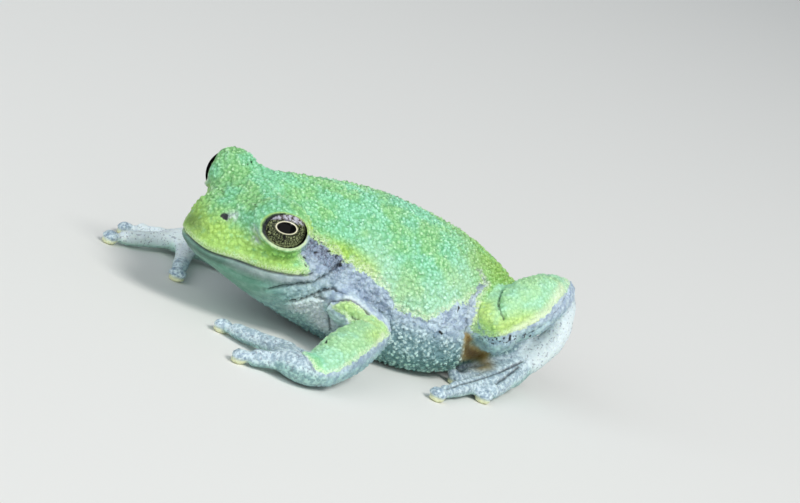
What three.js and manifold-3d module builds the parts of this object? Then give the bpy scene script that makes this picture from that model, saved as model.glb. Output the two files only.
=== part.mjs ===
// A tree frog at life size, sitting with its legs folded: a still model in one pose.
// Millimetres. X points to the frog's left, Y backwards (the head looks along -Y) and Z up.
// The body is one swept form parted by thin cuts; each limb and digit is a swept form of its own,
// trimmed by what it grows from, so that no two pieces touch.
import * as THREE from "three";
import { mergeVertices } from "three/addons/utils/BufferGeometryUtils.js";
import Module from "manifold-3d";

const wasm = await Module();
wasm.setup();

// ---- Driving dimensions ----

const BODY_LENGTH = 41.8; // snout to vent
const GAP = 0.3; // between pieces that meet
const EYE_RADIUS = 2.4;
const EYE_SIDE = 5; // from the middle of the head to the middle of each eye
const EYE_BACK = 6.85;
const EYE_HEIGHT = 11.4;
const HEAD_ROLL = 0.12; // rise of the head per millimetre to its right, as it leans
const BROW = { inward: 0.45, behind: 0.3, above: 0.1, radii: [2.6, 3.1, 2.5] }; // a dome over each eye
const NOSTRIL = { middle: 0.4, side: 1.8, back: 2.4, height: 9.6, radii: [0.8, 1.0, 0.7] }; // a low mound
const DIGIT_RADIUS = 0.72;
const DISC_RADIUS = 0.95;
const BODY_SIDES = 24;
const BODY_RINGS = 28;
const LIMB_SIDES = 10;
const LIMB_RINGS = 9;
const DIGIT_SIDES = 7;
const DIGIT_RINGS = 8;
const CAP_RINGS = 2; // rings of a limb's rounded end
const STEEP = 0.8; // a limb whose direction climbs by more than this is squared to y and not to z
const CUT = 60; // size of a cutting block, larger than the frog

// The body's sections, from snout to vent. Each row: place along the body, shift to the left,
// half width, top, height of the widest line, bottom, and how square it is above and below (2 is round).
const BODY_ROWS = [
  [0.0, 0.45, 0.0, 8.0, 8.0, 8.0, 1.8, 2.0],
  [0.6, 0.45, 1.5, 9.3, 7.6, 6.3, 2.1, 2.1],
  [2.0, 0.4, 2.8, 10.6, 7.4, 5.4, 2.0, 2.1],
  [4.0, 0.3, 4.4, 11.9, 7.1, 4.7, 1.9, 2.1],
  [6.6, 0.15, 6.0, 13.1, 6.9, 3.6, 1.9, 2.2],
  [9.0, 0.0, 7.0, 13.9, 6.8, 2.7, 1.9, 2.2],
  [11.5, 0.0, 7.3, 14.3, 6.7, 1.8, 2.0, 2.2],
  [14.0, 0.05, 7.6, 14.5, 6.5, 0.9, 2.0, 2.4],
  [17.0, 0.3, 8.4, 14.7, 6.0, 0.1, 2.0, 3.0],
  [20.0, 0.8, 9.4, 14.8, 5.3, -0.1, 2.0, 3.8],
  [23.5, 1.4, 10.2, 14.5, 4.8, -0.1, 2.0, 4.4],
  [27.0, 2.1, 10.1, 13.9, 4.8, -0.1, 2.0, 3.4],
  [30.0, 2.6, 8.8, 13.2, 5.1, 0.1, 2.0, 2.4],
  [33.0, 3.2, 7.0, 12.1, 5.4, 0.6, 2.0, 2.2],
  [36.0, 3.8, 6.0, 10.4, 5.3, 0.6, 2.0, 2.4],
  [38.5, 4.1, 4.6, 8.8, 5.2, 1.6, 2.0, 2.2],
  [40.3, 4.3, 3.0, 7.4, 5.1, 2.9, 2.0, 2.0],
  [BODY_LENGTH, 4.4, 0.0, 5.2, 5.2, 5.2, 2.0, 2.0],
];
const ROLL_ENDS = [8, 17]; // the lean of the head fades out between these places

// Limbs as rows of place (x, y, z), half width and half height.
const LIMBS = {
  left: {
    upper_arm: [[8.8, 14.6, 5.3, 1.6, 1.8], [10.3, 15.9, 5.0, 1.5, 1.7], [11.6, 17.1, 4.4, 1.5, 1.7]],
    forearm: [[11.8, 16.7, 4.0, 1.8, 1.9], [14.4, 12.3, 2.9, 2.3, 2.3], [17.1, 8.0, 1.8, 1.9, 1.6]],
    hand: [[17.3, 7.4, 1.7, 1.8, 1.6], [16.2, 6.1, 1.6, 2.2, 1.5], [14.2, 6.2, 1.5, 1.9, 1.3]],
    thigh: [[5.8, 35.5, 6.2, 2.8, 3.2], [9.0, 33.0, 7.0, 2.8, 3.3], [11.9, 31.1, 7.2, 2.5, 3.2]],
    shank: [[12.1, 30.8, 7.5, 2.5, 2.6], [11.2, 35.0, 9.6, 2.7, 3.1], [8.6, 40.2, 10.5, 1.6, 1.7]],
    tarsus: [[9.2, 40.6, 9.8, 1.3, 1.4], [10.3, 40.3, 6.4, 1.4, 1.3], [9.8, 38.3, 3.2, 1.6, 1.4]],
    foot: [[9.6, 38.0, 2.8, 1.6, 1.5], [9.9, 36.2, 1.9, 2.2, 1.5], [10.8, 34.2, 1.4, 2.1, 1.2]],
  },
  right: {
    upper_arm: [[-7.4, 12.8, 6.2, 1.7, 1.9], [-9.8, 16.2, 5.2, 1.6, 1.8], [-11.2, 19.4, 4.4, 1.5, 1.7]],
    forearm: [[-11.3, 19.3, 4.1, 1.8, 1.9], [-12.4, 16.8, 3.2, 2.1, 2.0], [-12.7, 14.0, 2.0, 1.6, 1.5]],
    hand: [[-12.8, 13.6, 1.9, 1.6, 1.5], [-14.2, 12.0, 1.6, 2.1, 1.5], [-14.8, 10.3, 1.4, 1.8, 1.2]],
    thigh: [[2.4, 35.5, 6.0, 2.8, 3.0], [-3.2, 32.6, 6.6, 2.8, 3.1], [-7.8, 29.6, 6.8, 2.4, 2.7]],
    shank: [[-8.0, 29.6, 6.5, 2.5, 2.6], [-5.7, 35.0, 7.1, 2.6, 2.8], [-1.2, 40.6, 7.1, 1.5, 1.6]],
    tarsus: [[-1.1, 41.5, 6.3, 1.3, 1.3], [-2.3, 41.7, 4.3, 1.3, 1.2], [-3.6, 40.0, 2.4, 1.4, 1.2]],
    foot: [[-3.9, 39.4, 2.3, 1.6, 1.4], [-5.4, 37.6, 1.7, 2.2, 1.4], [-7.2, 35.9, 1.4, 2.1, 1.2]],
  },
};

// Digits, counted from the inner side: the knuckle (x, y, z), then the middle of the tip's disc (x, y).
const DIGITS = {
  left: {
    finger: [
      [[14.4, 7.6, 1.2], [11.8, 10.8]],
      [[13.6, 7.6, 1.2], [9.8, 9.2]],
      [[13.0, 7.0, 1.6], [6.0, 4.0]],
      [[15.2, 5.0, 1.4], [13.5, 1.4]],
    ],
    toe: [
      [[9.2, 36.4, 1.2], [7.4, 33.6]],
      [[9.6, 35.4, 1.2], [8.6, 31.6]],
      [[10.2, 34.4, 1.7], [10.9, 29.3]],
      [[11.4, 34.2, 1.5], [16.0, 23.3]],
      [[11.4, 35.4, 1.4], [14.7, 30.1]],
    ],
  },
  right: {
    finger: [
      [[-13.0, 13.0, 1.1], [-10.4, 16.4]],
      [[-13.2, 11.0, 1.3], [-6.4, 6.2]],
      [[-14.6, 10.2, 1.4], [-14.5, 2.7]],
      [[-15.6, 10.6, 1.3], [-18.2, 6.4]],
    ],
    toe: [
      [[-5.6, 36.9, 1.2], [-4.0, 33.4]],
      [[-6.5, 36.3, 1.2], [-5.4, 31.8]],
      [[-7.3, 35.4, 1.2], [-7.5, 29.6]],
      [[-8.1, 35.1, 1.2], [-13.0, 24.6]],
      [[-8.3, 36.1, 1.2], [-13.0, 31.0]],
    ],
  },
};

// A digit's outline from knuckle to tip: place, and half width and half height for a radius of one.
const DIGIT_ROWS = [[0, 1.55, 1.4], [0.42, 1.18, 1.15], [0.7, 1.12, 1.1], [0.84, 0.8, 0.78]];
const DISC_HEIGHT = 0.62; // of the middle of a tip's disc
const DISC_SINK = 0.04; // how far a disc would reach below the floor, which gives it a small flat

// ---- Helpers ----

// A closed geometry as a solid.
function solidOf(geometry) {
  geometry.deleteAttribute("normal");
  geometry.deleteAttribute("uv");
  const merged = mergeVertices(geometry, 1e-4);
  return new wasm.Manifold(
    new wasm.Mesh({
      numProp: 3,
      vertProperties: merged.attributes.position.array,
      triVerts: new Uint32Array(merged.index.array),
    }),
  );
}

function geometryOf(solid) {
  const mesh = solid.getMesh();
  const geometry = new THREE.BufferGeometry();
  geometry.setAttribute("position", new THREE.BufferAttribute(mesh.vertProperties, mesh.numProp));
  geometry.setIndex(new THREE.BufferAttribute(mesh.triVerts, 1));
  return geometry;
}

// Cuts can leave crumbs: this keeps the largest body.
function largest(solid) {
  const bodies = solid.decompose();
  bodies.sort((a, b) => b.volume() - a.volume());
  return bodies[0];
}

// Reads a table of rows, whose first column is the place, as smooth curves.
function smoothRows(rows) {
  const places = rows.map((row) => row[0]);
  const values = rows.flatMap((row) => row.slice(1));
  const size = rows[0].length - 1;
  const curve = new THREE.CubicInterpolant(places, values, size, new Float64Array(size));
  return (place) => [...curve.evaluate(place)];
}

const towards = (value, power) => Math.sign(value) * Math.abs(value) ** power;

// A sphere moved point by point: bend(step, x, z) gets the ring, from 0 to 1 along the form, and the
// point's direction around it.
function bentSphere(sides, rings, bend) {
  const geometry = new THREE.SphereGeometry(1, sides, rings);
  const points = geometry.attributes.position;
  for (let i = 0; i < points.count; i += 1) {
    const [x, y, z] = [points.getX(i), points.getY(i), points.getZ(i)];
    const ring = Math.hypot(x, z);
    const around = ring > 1e-6 ? [x / ring, z / ring] : [0, 0];
    const moved = bend(Math.acos(THREE.MathUtils.clamp(y, -1, 1)) / Math.PI, ...around);
    points.setXYZ(i, moved.x, moved.y, moved.z);
  }
  return geometry;
}

// ---- Body ----

// The rows are read by the angle of a half circle over the body's length, which rounds both ends.
const angleAt = (place) => Math.acos(1 - (2 * place) / BODY_LENGTH);
const bodyAt = smoothRows(BODY_ROWS.map(([place, ...rest]) => [angleAt(place), ...rest]));

function bodySolid(grow) {
  return solidOf(
    bentSphere(BODY_SIDES, BODY_RINGS, (step, x, z) => {
      const angle = step * Math.PI;
      const place = (BODY_LENGTH * (1 - Math.cos(angle))) / 2;
      const [shift, half, top, widest, bottom, squareTop, squareBottom] = bodyAt(angle);
      const power = 2 / (z > 0 ? squareTop : squareBottom);
      const rise = z > 0 ? top - widest : widest - bottom;
      const side = -towards(x, power) * (half + grow);
      const roll = HEAD_ROLL * (1 - THREE.MathUtils.smoothstep(place, ...ROLL_ENDS));
      return new THREE.Vector3(
        shift + side,
        place + grow * -Math.cos(angle),
        widest + towards(z, power) * (rise + grow) - side * roll,
      );
    }),
  );
}

// A domed brow round each eye, and a low mound under each nostril.
function mound(x, y, z, radii) {
  const geometry = new THREE.SphereGeometry(1, 12, 8);
  geometry.scale(...radii);
  geometry.translate(x, y, z - x * HEAD_ROLL);
  return solidOf(geometry);
}

function headForm() {
  let form = bodySolid(0);
  for (const side of [-1, 1]) {
    const browSide = side * (EYE_SIDE - BROW.inward);
    form = form.add(mound(browSide, EYE_BACK + BROW.behind, EYE_HEIGHT + BROW.above, BROW.radii));
    const nostrilSide = NOSTRIL.middle + side * NOSTRIL.side;
    form = form.add(mound(nostrilSide, NOSTRIL.back, NOSTRIL.height, NOSTRIL.radii));
  }
  return form;
}

function eyeSolid(side, grow) {
  const geometry = new THREE.SphereGeometry(EYE_RADIUS + grow, 12, 8);
  geometry.translate(side * EYE_SIDE, EYE_BACK, EYE_HEIGHT - side * EYE_SIDE * HEAD_ROLL);
  return solidOf(geometry);
}

// ---- Limbs and digits ----

// A rounded form along the rows (x, y, z, half width, half height).
function limbSolid(rows, sides, rings, grow = 0) {
  const path = new THREE.CatmullRomCurve3(rows.map((row) => new THREE.Vector3(...row.slice(0, 3))));
  const last = rows.length - 1;
  const sizeAt = smoothRows(rows.map((row, i) => [i / last, row[3] + grow, row[4] + grow]));
  const steep = Math.abs(path.getTangent(0.5).z) > STEEP;
  const up = steep ? new THREE.Vector3(0, 1, 0) : new THREE.Vector3(0, 0, 1);
  return solidOf(
    bentSphere(sides, rings, (step, x, z) => {
      const ring = step * rings;
      const into = Math.min(ring, rings - ring);
      const cap = Math.min(into / CAP_RINGS, 1) * (Math.PI / 2);
      const place = THREE.MathUtils.clamp((ring - CAP_RINGS) / (rings - 2 * CAP_RINGS), 0, 1);
      const [wide, tall] = sizeAt(place);
      const along = path.getTangent(place);
      const across = new THREE.Vector3().crossVectors(along, up).normalize();
      const upright = new THREE.Vector3().crossVectors(across, along);
      const reach = Math.cos(cap) * Math.min(wide, tall) * (ring * 2 < rings ? -1 : 1);
      return path
        .getPoint(place)
        .addScaledVector(along, reach)
        .addScaledVector(across, -x * wide * Math.sin(cap))
        .addScaledVector(upright, z * tall * Math.sin(cap));
    }),
  );
}

function digitRows([[x0, y0, z0], [x1, y1]]) {
  const rows = DIGIT_ROWS.map(([place, wide, tall]) => [
    THREE.MathUtils.lerp(x0, x1, place),
    THREE.MathUtils.lerp(y0, y1, place),
    THREE.MathUtils.lerp(z0, DISC_HEIGHT, place),
    wide * DIGIT_RADIUS,
    tall * DIGIT_RADIUS,
  ]);
  return [...rows, [x1, y1, DISC_HEIGHT, DISC_RADIUS, DISC_HEIGHT + DISC_SINK]];
}

// ---- Assembly ----

// A block that fills all beyond a plane through `point` facing away from `facing`.
function beyond(point, facing) {
  const geometry = new THREE.BoxGeometry(CUT * 2, CUT * 2, CUT);
  geometry.translate(0, 0, CUT / 2);
  geometry.applyQuaternion(
    new THREE.Quaternion().setFromUnitVectors(new THREE.Vector3(0, 0, 1), facing.clone().normalize()),
  );
  geometry.translate(point.x, point.y, point.z);
  return solidOf(geometry);
}

// Parts a solid along a plane, leaving the gap between the two halves.
function partAlong(solid, point, facing) {
  const step = facing.clone().normalize().multiplyScalar(GAP / 2);
  const ahead = solid.intersect(beyond(point.clone().add(step), facing));
  const behind = solid.intersect(beyond(point.clone().sub(step), facing.clone().negate()));
  return [largest(ahead), largest(behind)];
}

const frog = new THREE.Group();
const aboveFloor = beyond(new THREE.Vector3(0, 0, 0), new THREE.Vector3(0, 0, 1));

function material(colour, roughness) {
  return new THREE.MeshStandardMaterial({ color: colour, roughness, metalness: 0 });
}

function addPart(name, solid, colour, roughness = 0.55) {
  const part = new THREE.Mesh(geometryOf(largest(solid.intersect(aboveFloor))), material(colour, roughness));
  part.name = name;
  frog.add(part);
}

const GREEN = "#8fc36a";
const LIMB_GREEN = "#a3c964";
const PALE = "#c9d2dc";
const LAVENDER = "#c3c0d2";
const BRONZE = "#5a4632";

// Body parts.
const NECK = new THREE.Vector3(0, 12.6, 7);
const NECK_FACING = new THREE.Vector3(0, 1, -0.12);
const MOUTH = new THREE.Vector3(0, 0, 6.2);
const MOUTH_FACING = new THREE.Vector3(0, -0.06, 1);
const HIPS = new THREE.Vector3(3.4, 34, 6);
const HIPS_FACING = new THREE.Vector3(0.15, 1, 0);

const [behindNeck, headAndJaw] = partAlong(headForm(), NECK, NECK_FACING);
const [headBlock, jaw] = partAlong(headAndJaw, MOUTH, MOUTH_FACING);
const [rump, trunk] = partAlong(behindNeck, HIPS, HIPS_FACING);
const head = headBlock.subtract(eyeSolid(1, GAP)).subtract(eyeSolid(-1, GAP));
addPart("head", head, GREEN);
addPart("lower_jaw", jaw, PALE);
addPart("trunk", trunk, GREEN);
addPart("rump", rump, GREEN);
addPart("eye_left", eyeSolid(1, 0), BRONZE, 0.1);
addPart("eye_right", eyeSolid(-1, 0), BRONZE, 0.1);

// Each limb is a chain of pieces: every piece is trimmed by the body and by the pieces before it.
const bodyGrown = bodySolid(GAP);

function addChain(side, names, colours, grown) {
  names.forEach((name, i) => {
    const rows = LIMBS[side][name];
    let solid = limbSolid(rows, LIMB_SIDES, LIMB_RINGS);
    for (const other of grown) solid = solid.subtract(other);
    grown.push(limbSolid(rows, LIMB_SIDES, LIMB_RINGS, GAP));
    addPart(`${name}_${side}`, solid, colours[i]);
  });
}

function addDigits(side, kind, grown) {
  DIGITS[side][kind].forEach((digit, i) => {
    const rows = digitRows(digit);
    let solid = limbSolid(rows, DIGIT_SIDES, DIGIT_RINGS);
    for (const other of grown) solid = solid.subtract(other);
    grown.push(limbSolid(rows, DIGIT_SIDES, DIGIT_RINGS, GAP));
    addPart(`${kind}_${i + 1}_${side}`, solid, LAVENDER);
  });
}

for (const side of ["left", "right"]) {
  const arm = [bodyGrown];
  addChain(side, ["upper_arm", "forearm", "hand"], [LIMB_GREEN, LIMB_GREEN, LAVENDER], arm);
  addDigits(side, "finger", arm);
  const leg = [bodyGrown];
  addChain(side, ["thigh", "shank", "tarsus", "foot"], [LIMB_GREEN, LIMB_GREEN, LAVENDER, LAVENDER], leg);
  addDigits(side, "toe", leg);
}

// The origin is the middle of the footprint, on the floor.
const box = new THREE.Box3().setFromObject(frog);
const middle = box.getCenter(new THREE.Vector3());
frog.position.set(-middle.x, -middle.y, 0);

export default frog;
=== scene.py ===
"""A tree frog sitting still: one skin over the frame's flesh, two eyes, and a plain studio."""

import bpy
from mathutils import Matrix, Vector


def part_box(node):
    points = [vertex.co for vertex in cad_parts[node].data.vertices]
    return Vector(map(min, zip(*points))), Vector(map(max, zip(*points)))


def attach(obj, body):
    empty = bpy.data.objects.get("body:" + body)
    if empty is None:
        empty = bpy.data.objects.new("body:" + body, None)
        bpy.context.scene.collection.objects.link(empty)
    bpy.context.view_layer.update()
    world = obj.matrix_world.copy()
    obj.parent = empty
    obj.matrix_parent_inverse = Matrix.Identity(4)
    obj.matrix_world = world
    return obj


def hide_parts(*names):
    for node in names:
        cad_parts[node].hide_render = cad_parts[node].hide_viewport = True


bl_info = {
    "name": "Tree Frog",
    "version": (1, 0, 0),
    "blender": (4, 5, 0),
    "location": "View3D > Sidebar > Tree Frog",
    "description": "Makes the skin and the eyes of a life-size tree frog over its packed frame",
    "category": "Object",
}

from math import atan2, cos, pi, radians, sin
from typing import NamedTuple

import bmesh
import bpy
import numpy as np
from bpy.props import FloatProperty, FloatVectorProperty, IntProperty, PointerProperty
from mathutils import Matrix, Vector
from mathutils.bvhtree import BVHTree

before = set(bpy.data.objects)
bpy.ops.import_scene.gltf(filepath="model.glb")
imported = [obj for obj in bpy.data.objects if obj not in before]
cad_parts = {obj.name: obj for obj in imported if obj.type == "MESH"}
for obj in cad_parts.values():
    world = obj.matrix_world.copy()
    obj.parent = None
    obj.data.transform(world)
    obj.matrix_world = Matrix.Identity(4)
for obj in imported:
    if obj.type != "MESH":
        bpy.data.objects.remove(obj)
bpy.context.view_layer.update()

# -------- the frog's own millimetres
# Landmarks are in millimetres from the point on the floor under the snout: x towards the frog's
# left, y towards its rump and z up.

SIDES = {"left": 1, "right": -1}
MM = 0.001
SPREAD = 0.7  # how far each round of smoothing goes towards the mean round a point


def middle(node):
    """The middle of a node's box, in metres."""
    low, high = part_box(node)
    return (low + high) / 2


def in_frog(node):
    """The middle of a node's box, in the frog's millimetres."""
    return np.array(FRAME_TO_FROG @ middle(node))


ORIGIN = Vector(((middle("eye_left").x + middle("eye_right").x) / 2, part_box("head")[0].y, 0))
FROG_TO_FRAME = Matrix.Translation(ORIGIN) @ Matrix.Scale(MM, 4)
FRAME_TO_FROG = FROG_TO_FRAME.inverted()

MERGE = 1e-6  # metres between two points of a node that are one point
SWELL = 0.2  # the nodes swell by this to close the gaps between them
SPIKE = 1.6  # a sharp corner swells by at most this many times as much
VOXEL = 0.12
TRIANGLES = 190_000

# The head leans over to the frog's left, less and less from the first of these places to the second.
HEAD_ROLL = 0.12
ROLL_ENDS = (8, 17)

# Lines on the left side, as (x, y, z) on an upright head and body.
MOUTH = [
    (0, 0.2, 7.15), (1.1, 0.5, 7.1), (1.9, 1.0, 6.95), (2.5, 1.6, 6.8), (3.1, 2.2, 6.8), (3.7, 2.9, 6.95),
    (4.8, 4.2, 7.25), (5.6, 5.5, 7.28), (6.2, 6.9, 7.4), (6.6, 8.0, 7.55), (6.9, 9.2, 7.68),
    (7.1, 10.6, 7.92), (7.1, 11.1, 8.15),
]
# The edge between green above and grey below, as (how far back, height).
GREEN_EDGE = [
    (0, 12.7), (7.6, 12.7), (8.3, 12.4), (10.2, 11.15), (11.1, 10.85), (11.9, 10.55), (12.7, 10.2),
    (13.5, 9.75), (14.2, 9.2), (15.4, 9.0), (16.4, 8.8), (17.5, 8.3), (18.5, 7.9), (19.1, 7.2), (19.5, 6.6),
    (20.3, 6.2), (22.8, 6.2), (23.9, 6.8), (24.6, 7.5), (25.3, 8.0), (26.7, 8.6), (27.6, 9.2), (28.6, 9.9),
    (29.8, 10.5), (31, 8.5), (36, 7), (42, 6),
]
# Where the green ends on the cheek and where the knee's front meets the flank, as (height, how far back).
CHEEK_EDGE = [(8.0, 10.9), (8.9, 10.3), (9.5, 9.7), (10.8, 8.4)]
KNEE_EDGE = [(5.6, 27.6), (6.6, 27.1), (7.6, 27.0), (8.4, 27.2), (9.2, 27.6), (9.8, 28.5), (10.3, 29.9)]
KNEE_RIM = 0.45  # how far the pale skin at the knee's front reaches
# The green's edge on a hind leg, as (how far back, height from the top of the shank).
LEG_EDGE = [
    (28, -6.8), (28.9, -6.6), (29.5, -6.1), (30.9, -5.3), (32.5, -4.4), (33.6, -3.6), (34.6, -2.9),
    (35.6, -1.9), (37.1, -1.1), (41, -0.6),
]


class Fold(NamedTuple):
    """A fold of skin: its line, the groove's depth and width, how far the skin stands out beside it, and how
    dark the painted shade in its groove is.
    """

    path: list
    depth: float
    width: float
    above: float = 0.0
    below: float = 0.0
    # How dark the painted shade in the groove is.
    dark: float = 1.0


# Folds of both sides, on an upright left side.
FOLDS = [
    Fold(MOUTH, 0.24, 0.13, above=0.1, below=0.05),
    Fold([(7.1, 10.9, 8.1), (7.1, 12.0, 8.75), (6.9, 12.8, 9.6), (6.7, 13.3, 10.2)], 0.08, 0.2, dark=0.2),
    Fold([(6.3, 7.6, 5.6), (6.8, 8.9, 6.6), (7.1, 10.3, 7.0), (7.2, 11.7, 7.3), (7.3, 12.6, 8.0),
          (7.2, 13.6, 9.1)], 0.3, 0.17, above=0.16, below=0.05, dark=0.95),
    Fold([(3.7, 3.5, 6.05), (4.6, 4.8, 5.85), (5.7, 6.4, 6.0), (6.4, 7.8, 6.3), (6.8, 8.9, 6.6)],
         0.12, 0.3, above=0.05, dark=0.0),
]
ELBOW = [
    (10.8, 14.4, 5.1), (11.3, 14.5, 5.2), (11.7, 14.5, 5.4), (12.1, 14.7, 5.6), (12.6, 14.8, 5.65),
    (13.0, 15.0, 5.6),
]
SHOULDER = [
    (8.1, 13.3, 5.35), (8.6, 13.3, 5.6), (9.1, 13.3, 5.9), (9.6, 13.7, 6.35), (9.8, 14.3, 6.5),
    (10.3, 14.8, 6.5), (11.0, 15.2, 6.3), (11.5, 15.6, 6.0),
]
# Folds that only the left side has, on it as it leans.
LEFT_FOLDS = [
    Fold([(6.5, 10.1, 4.2), (6.9, 11.1, 4.6), (7.15, 11.7, 5.2), (7.4, 12.4, 5.75), (7.6, 13.0, 6.3),
          (7.8, 13.5, 6.65), (8.2, 13.8, 6.7), (8.8, 14.1, 6.7)],
         0.3, 0.16, above=0.08, below=0.12, dark=1.0),
    Fold([(7.3, 12.2, 5.3), (7.6, 12.9, 5.3), (8.1, 13.3, 5.1), (8.0, 13.6, 4.5), (7.4, 14.6, 3.4),
          (6.8, 15.7, 2.1)], 0.22, 0.2, below=0.05, dark=0.9),
    Fold(SHOULDER, 0.26, 0.18, below=0.08, dark=0.95),
    Fold(ELBOW, 0.26, 0.2, above=0.06, below=0.1, dark=1.0),
    Fold([(15.6, 24.6, 1.3), (14.8, 26.7, 1.6), (13.0, 30.9, 2.0), (11.7, 33.5, 2.3), (11.1, 35.5, 2.9),
          (10.8, 36.9, 3.5)], 0.26, 0.15, above=0.03, below=0.05, dark=1.0),
    Fold([(13.6, 32.0, 1.7), (12.5, 33.7, 1.9), (11.7, 35.3, 2.5), (11.2, 36.3, 3.0)],
         0.28, 0.15, above=0.05, below=0.05, dark=1.0),
    Fold([(15.9, 5.9, 3.05), (16.9, 5.7, 3.0), (17.7, 5.8, 2.7), (18.5, 6.4, 2.0)], 0.16, 0.16, dark=0.8),
]
# Folds of both hind legs, on the left one.
LEG_FOLDS = [
    Fold([(6.9, 27.3, 12.7), (7.5, 27.9, 12.2), (8.1, 28.6, 11.6), (8.6, 29.3, 11.1), (9.1, 30.1, 10.5)],
         0.2, 0.2, dark=0.4),
    Fold([(9.2, 30.0, 10.4), (9.7, 29.3, 10.1), (10.2, 28.5, 9.8), (10.9, 27.6, 9.2), (11.5, 27.2, 8.4),
          (11.9, 27.0, 7.6), (12.0, 27.1, 6.6), (11.9, 27.6, 5.6)], 0.34, 0.24, dark=0.75),
    Fold([(9.9, 31.4, 10.4), (10.7, 30.9, 10.2), (11.4, 30.2, 9.9), (12.1, 29.7, 9.4), (13.0, 29.5, 8.9),
          (13.6, 29.8, 8.3)], 0.3, 0.2, above=0.05, below=0.05, dark=0.9),
    Fold([(14.1, 33.4, 7.2), (14.0, 34.9, 8.3), (13.4, 36.3, 10.0), (12.3, 37.8, 11.1), (11.3, 38.8, 11.5)],
         0.26, 0.2, dark=0.85),
]
BESIDE = 0.55  # how far from a fold the skin beside it stands out most
BESIDE_WIDTH = 0.35
SEAM = 0.4  # how far from a fold its painted shade reaches
NOSTRIL = (2.35, 2.65, 10.3)
# Pale patches of the head, as (place, reach).
PALE_PATCHES = [
    ((2.55, 2.95, 10.4), 0.36), ((2.75, 3.5, 10.65), 0.4), ((5.1, 4.55, 10.6), 0.5), ((5.4, 4.8, 9.9), 0.5),
]
MARK = 0.4  # how far round a black mark's line it reaches
BLACK_MARKS = [  # on the left side as it leans: two ends of each
    ((6.4, 9.0, 9.35), (6.4, 9.25, 9.1)), ((6.45, 9.75, 8.8), (6.55, 10.0, 8.6)),
    ((6.75, 10.15, 8.2), (6.8, 10.3, 8.0)), ((3.35, 4.7, 11.95), (3.45, 4.9, 11.85)),
    ((7.15, 13.75, 8.95), (7.2, 13.85, 8.7)), ((6.45, 11.0, 9.35), (6.45, 11.3, 9.5)),
    ((6.5, 12.0, 9.8), (6.6, 12.5, 9.75)), ((11.3, 25.9, 8.1), (11.5, 25.8, 7.5)),
    ((11.7, 24.3, 5.5), (11.8, 24.8, 5.2)), ((13.7, 29.5, 6.5), (13.8, 29.9, 6.6)),
    ((14.2, 30.8, 7.2), (14.2, 31.1, 6.4)), ((14.2, 32.6, 6.9), (14.1, 32.9, 6.2)),
    ((15.3, 8.9, 3.75), (14.6, 9.5, 3.95)),
]


def ramp(values, low, high):
    """0 below low, 1 above high and a smooth step between."""
    share = np.clip((values - low) / (high - low), 0, 1)
    return share * share * (3 - 2 * share)


def bell(distances, width):
    """1 at distance 0, fading to 0 past about two widths."""
    return np.exp(-((distances / width) ** 2))


def unit(vector):
    """The vector at length 1, as an array."""
    vector = np.asarray(vector, float)
    return vector / np.linalg.norm(vector)


def along(line, places):
    """The second value of a line of pairs at places of the first."""
    return np.interp(places, *np.transpose(line))


def lean(points):
    """How far each upright point sinks as the head leans over."""
    return HEAD_ROLL * points[:, 0] * (1 - ramp(points[:, 1], *ROLL_ENDS))


def upright(points):
    """The points with the head's lean taken out."""
    found = points.copy()
    found[:, 2] += lean(points)
    return found


def leaning(points, side):
    """Upright points of the left side, put where they are on the side with the given sign."""
    found = np.array(points, float).reshape(-1, 3)
    found[:, 0] *= side
    found[:, 2] -= lean(found)
    return found


# -------- sculpting tools


def finished(piece):
    """The piece's mesh with its modifiers applied; the piece itself is removed."""
    depsgraph = bpy.context.evaluated_depsgraph_get()
    mesh = bpy.data.meshes.new_from_object(piece.evaluated_get(depsgraph))
    bpy.data.objects.remove(piece)
    return mesh


def placed(name, data):
    """A new object in the scene that holds the mesh, the lamp or the camera."""
    piece = bpy.data.objects.new(name, data)
    bpy.context.scene.collection.objects.link(piece)
    return piece


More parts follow.
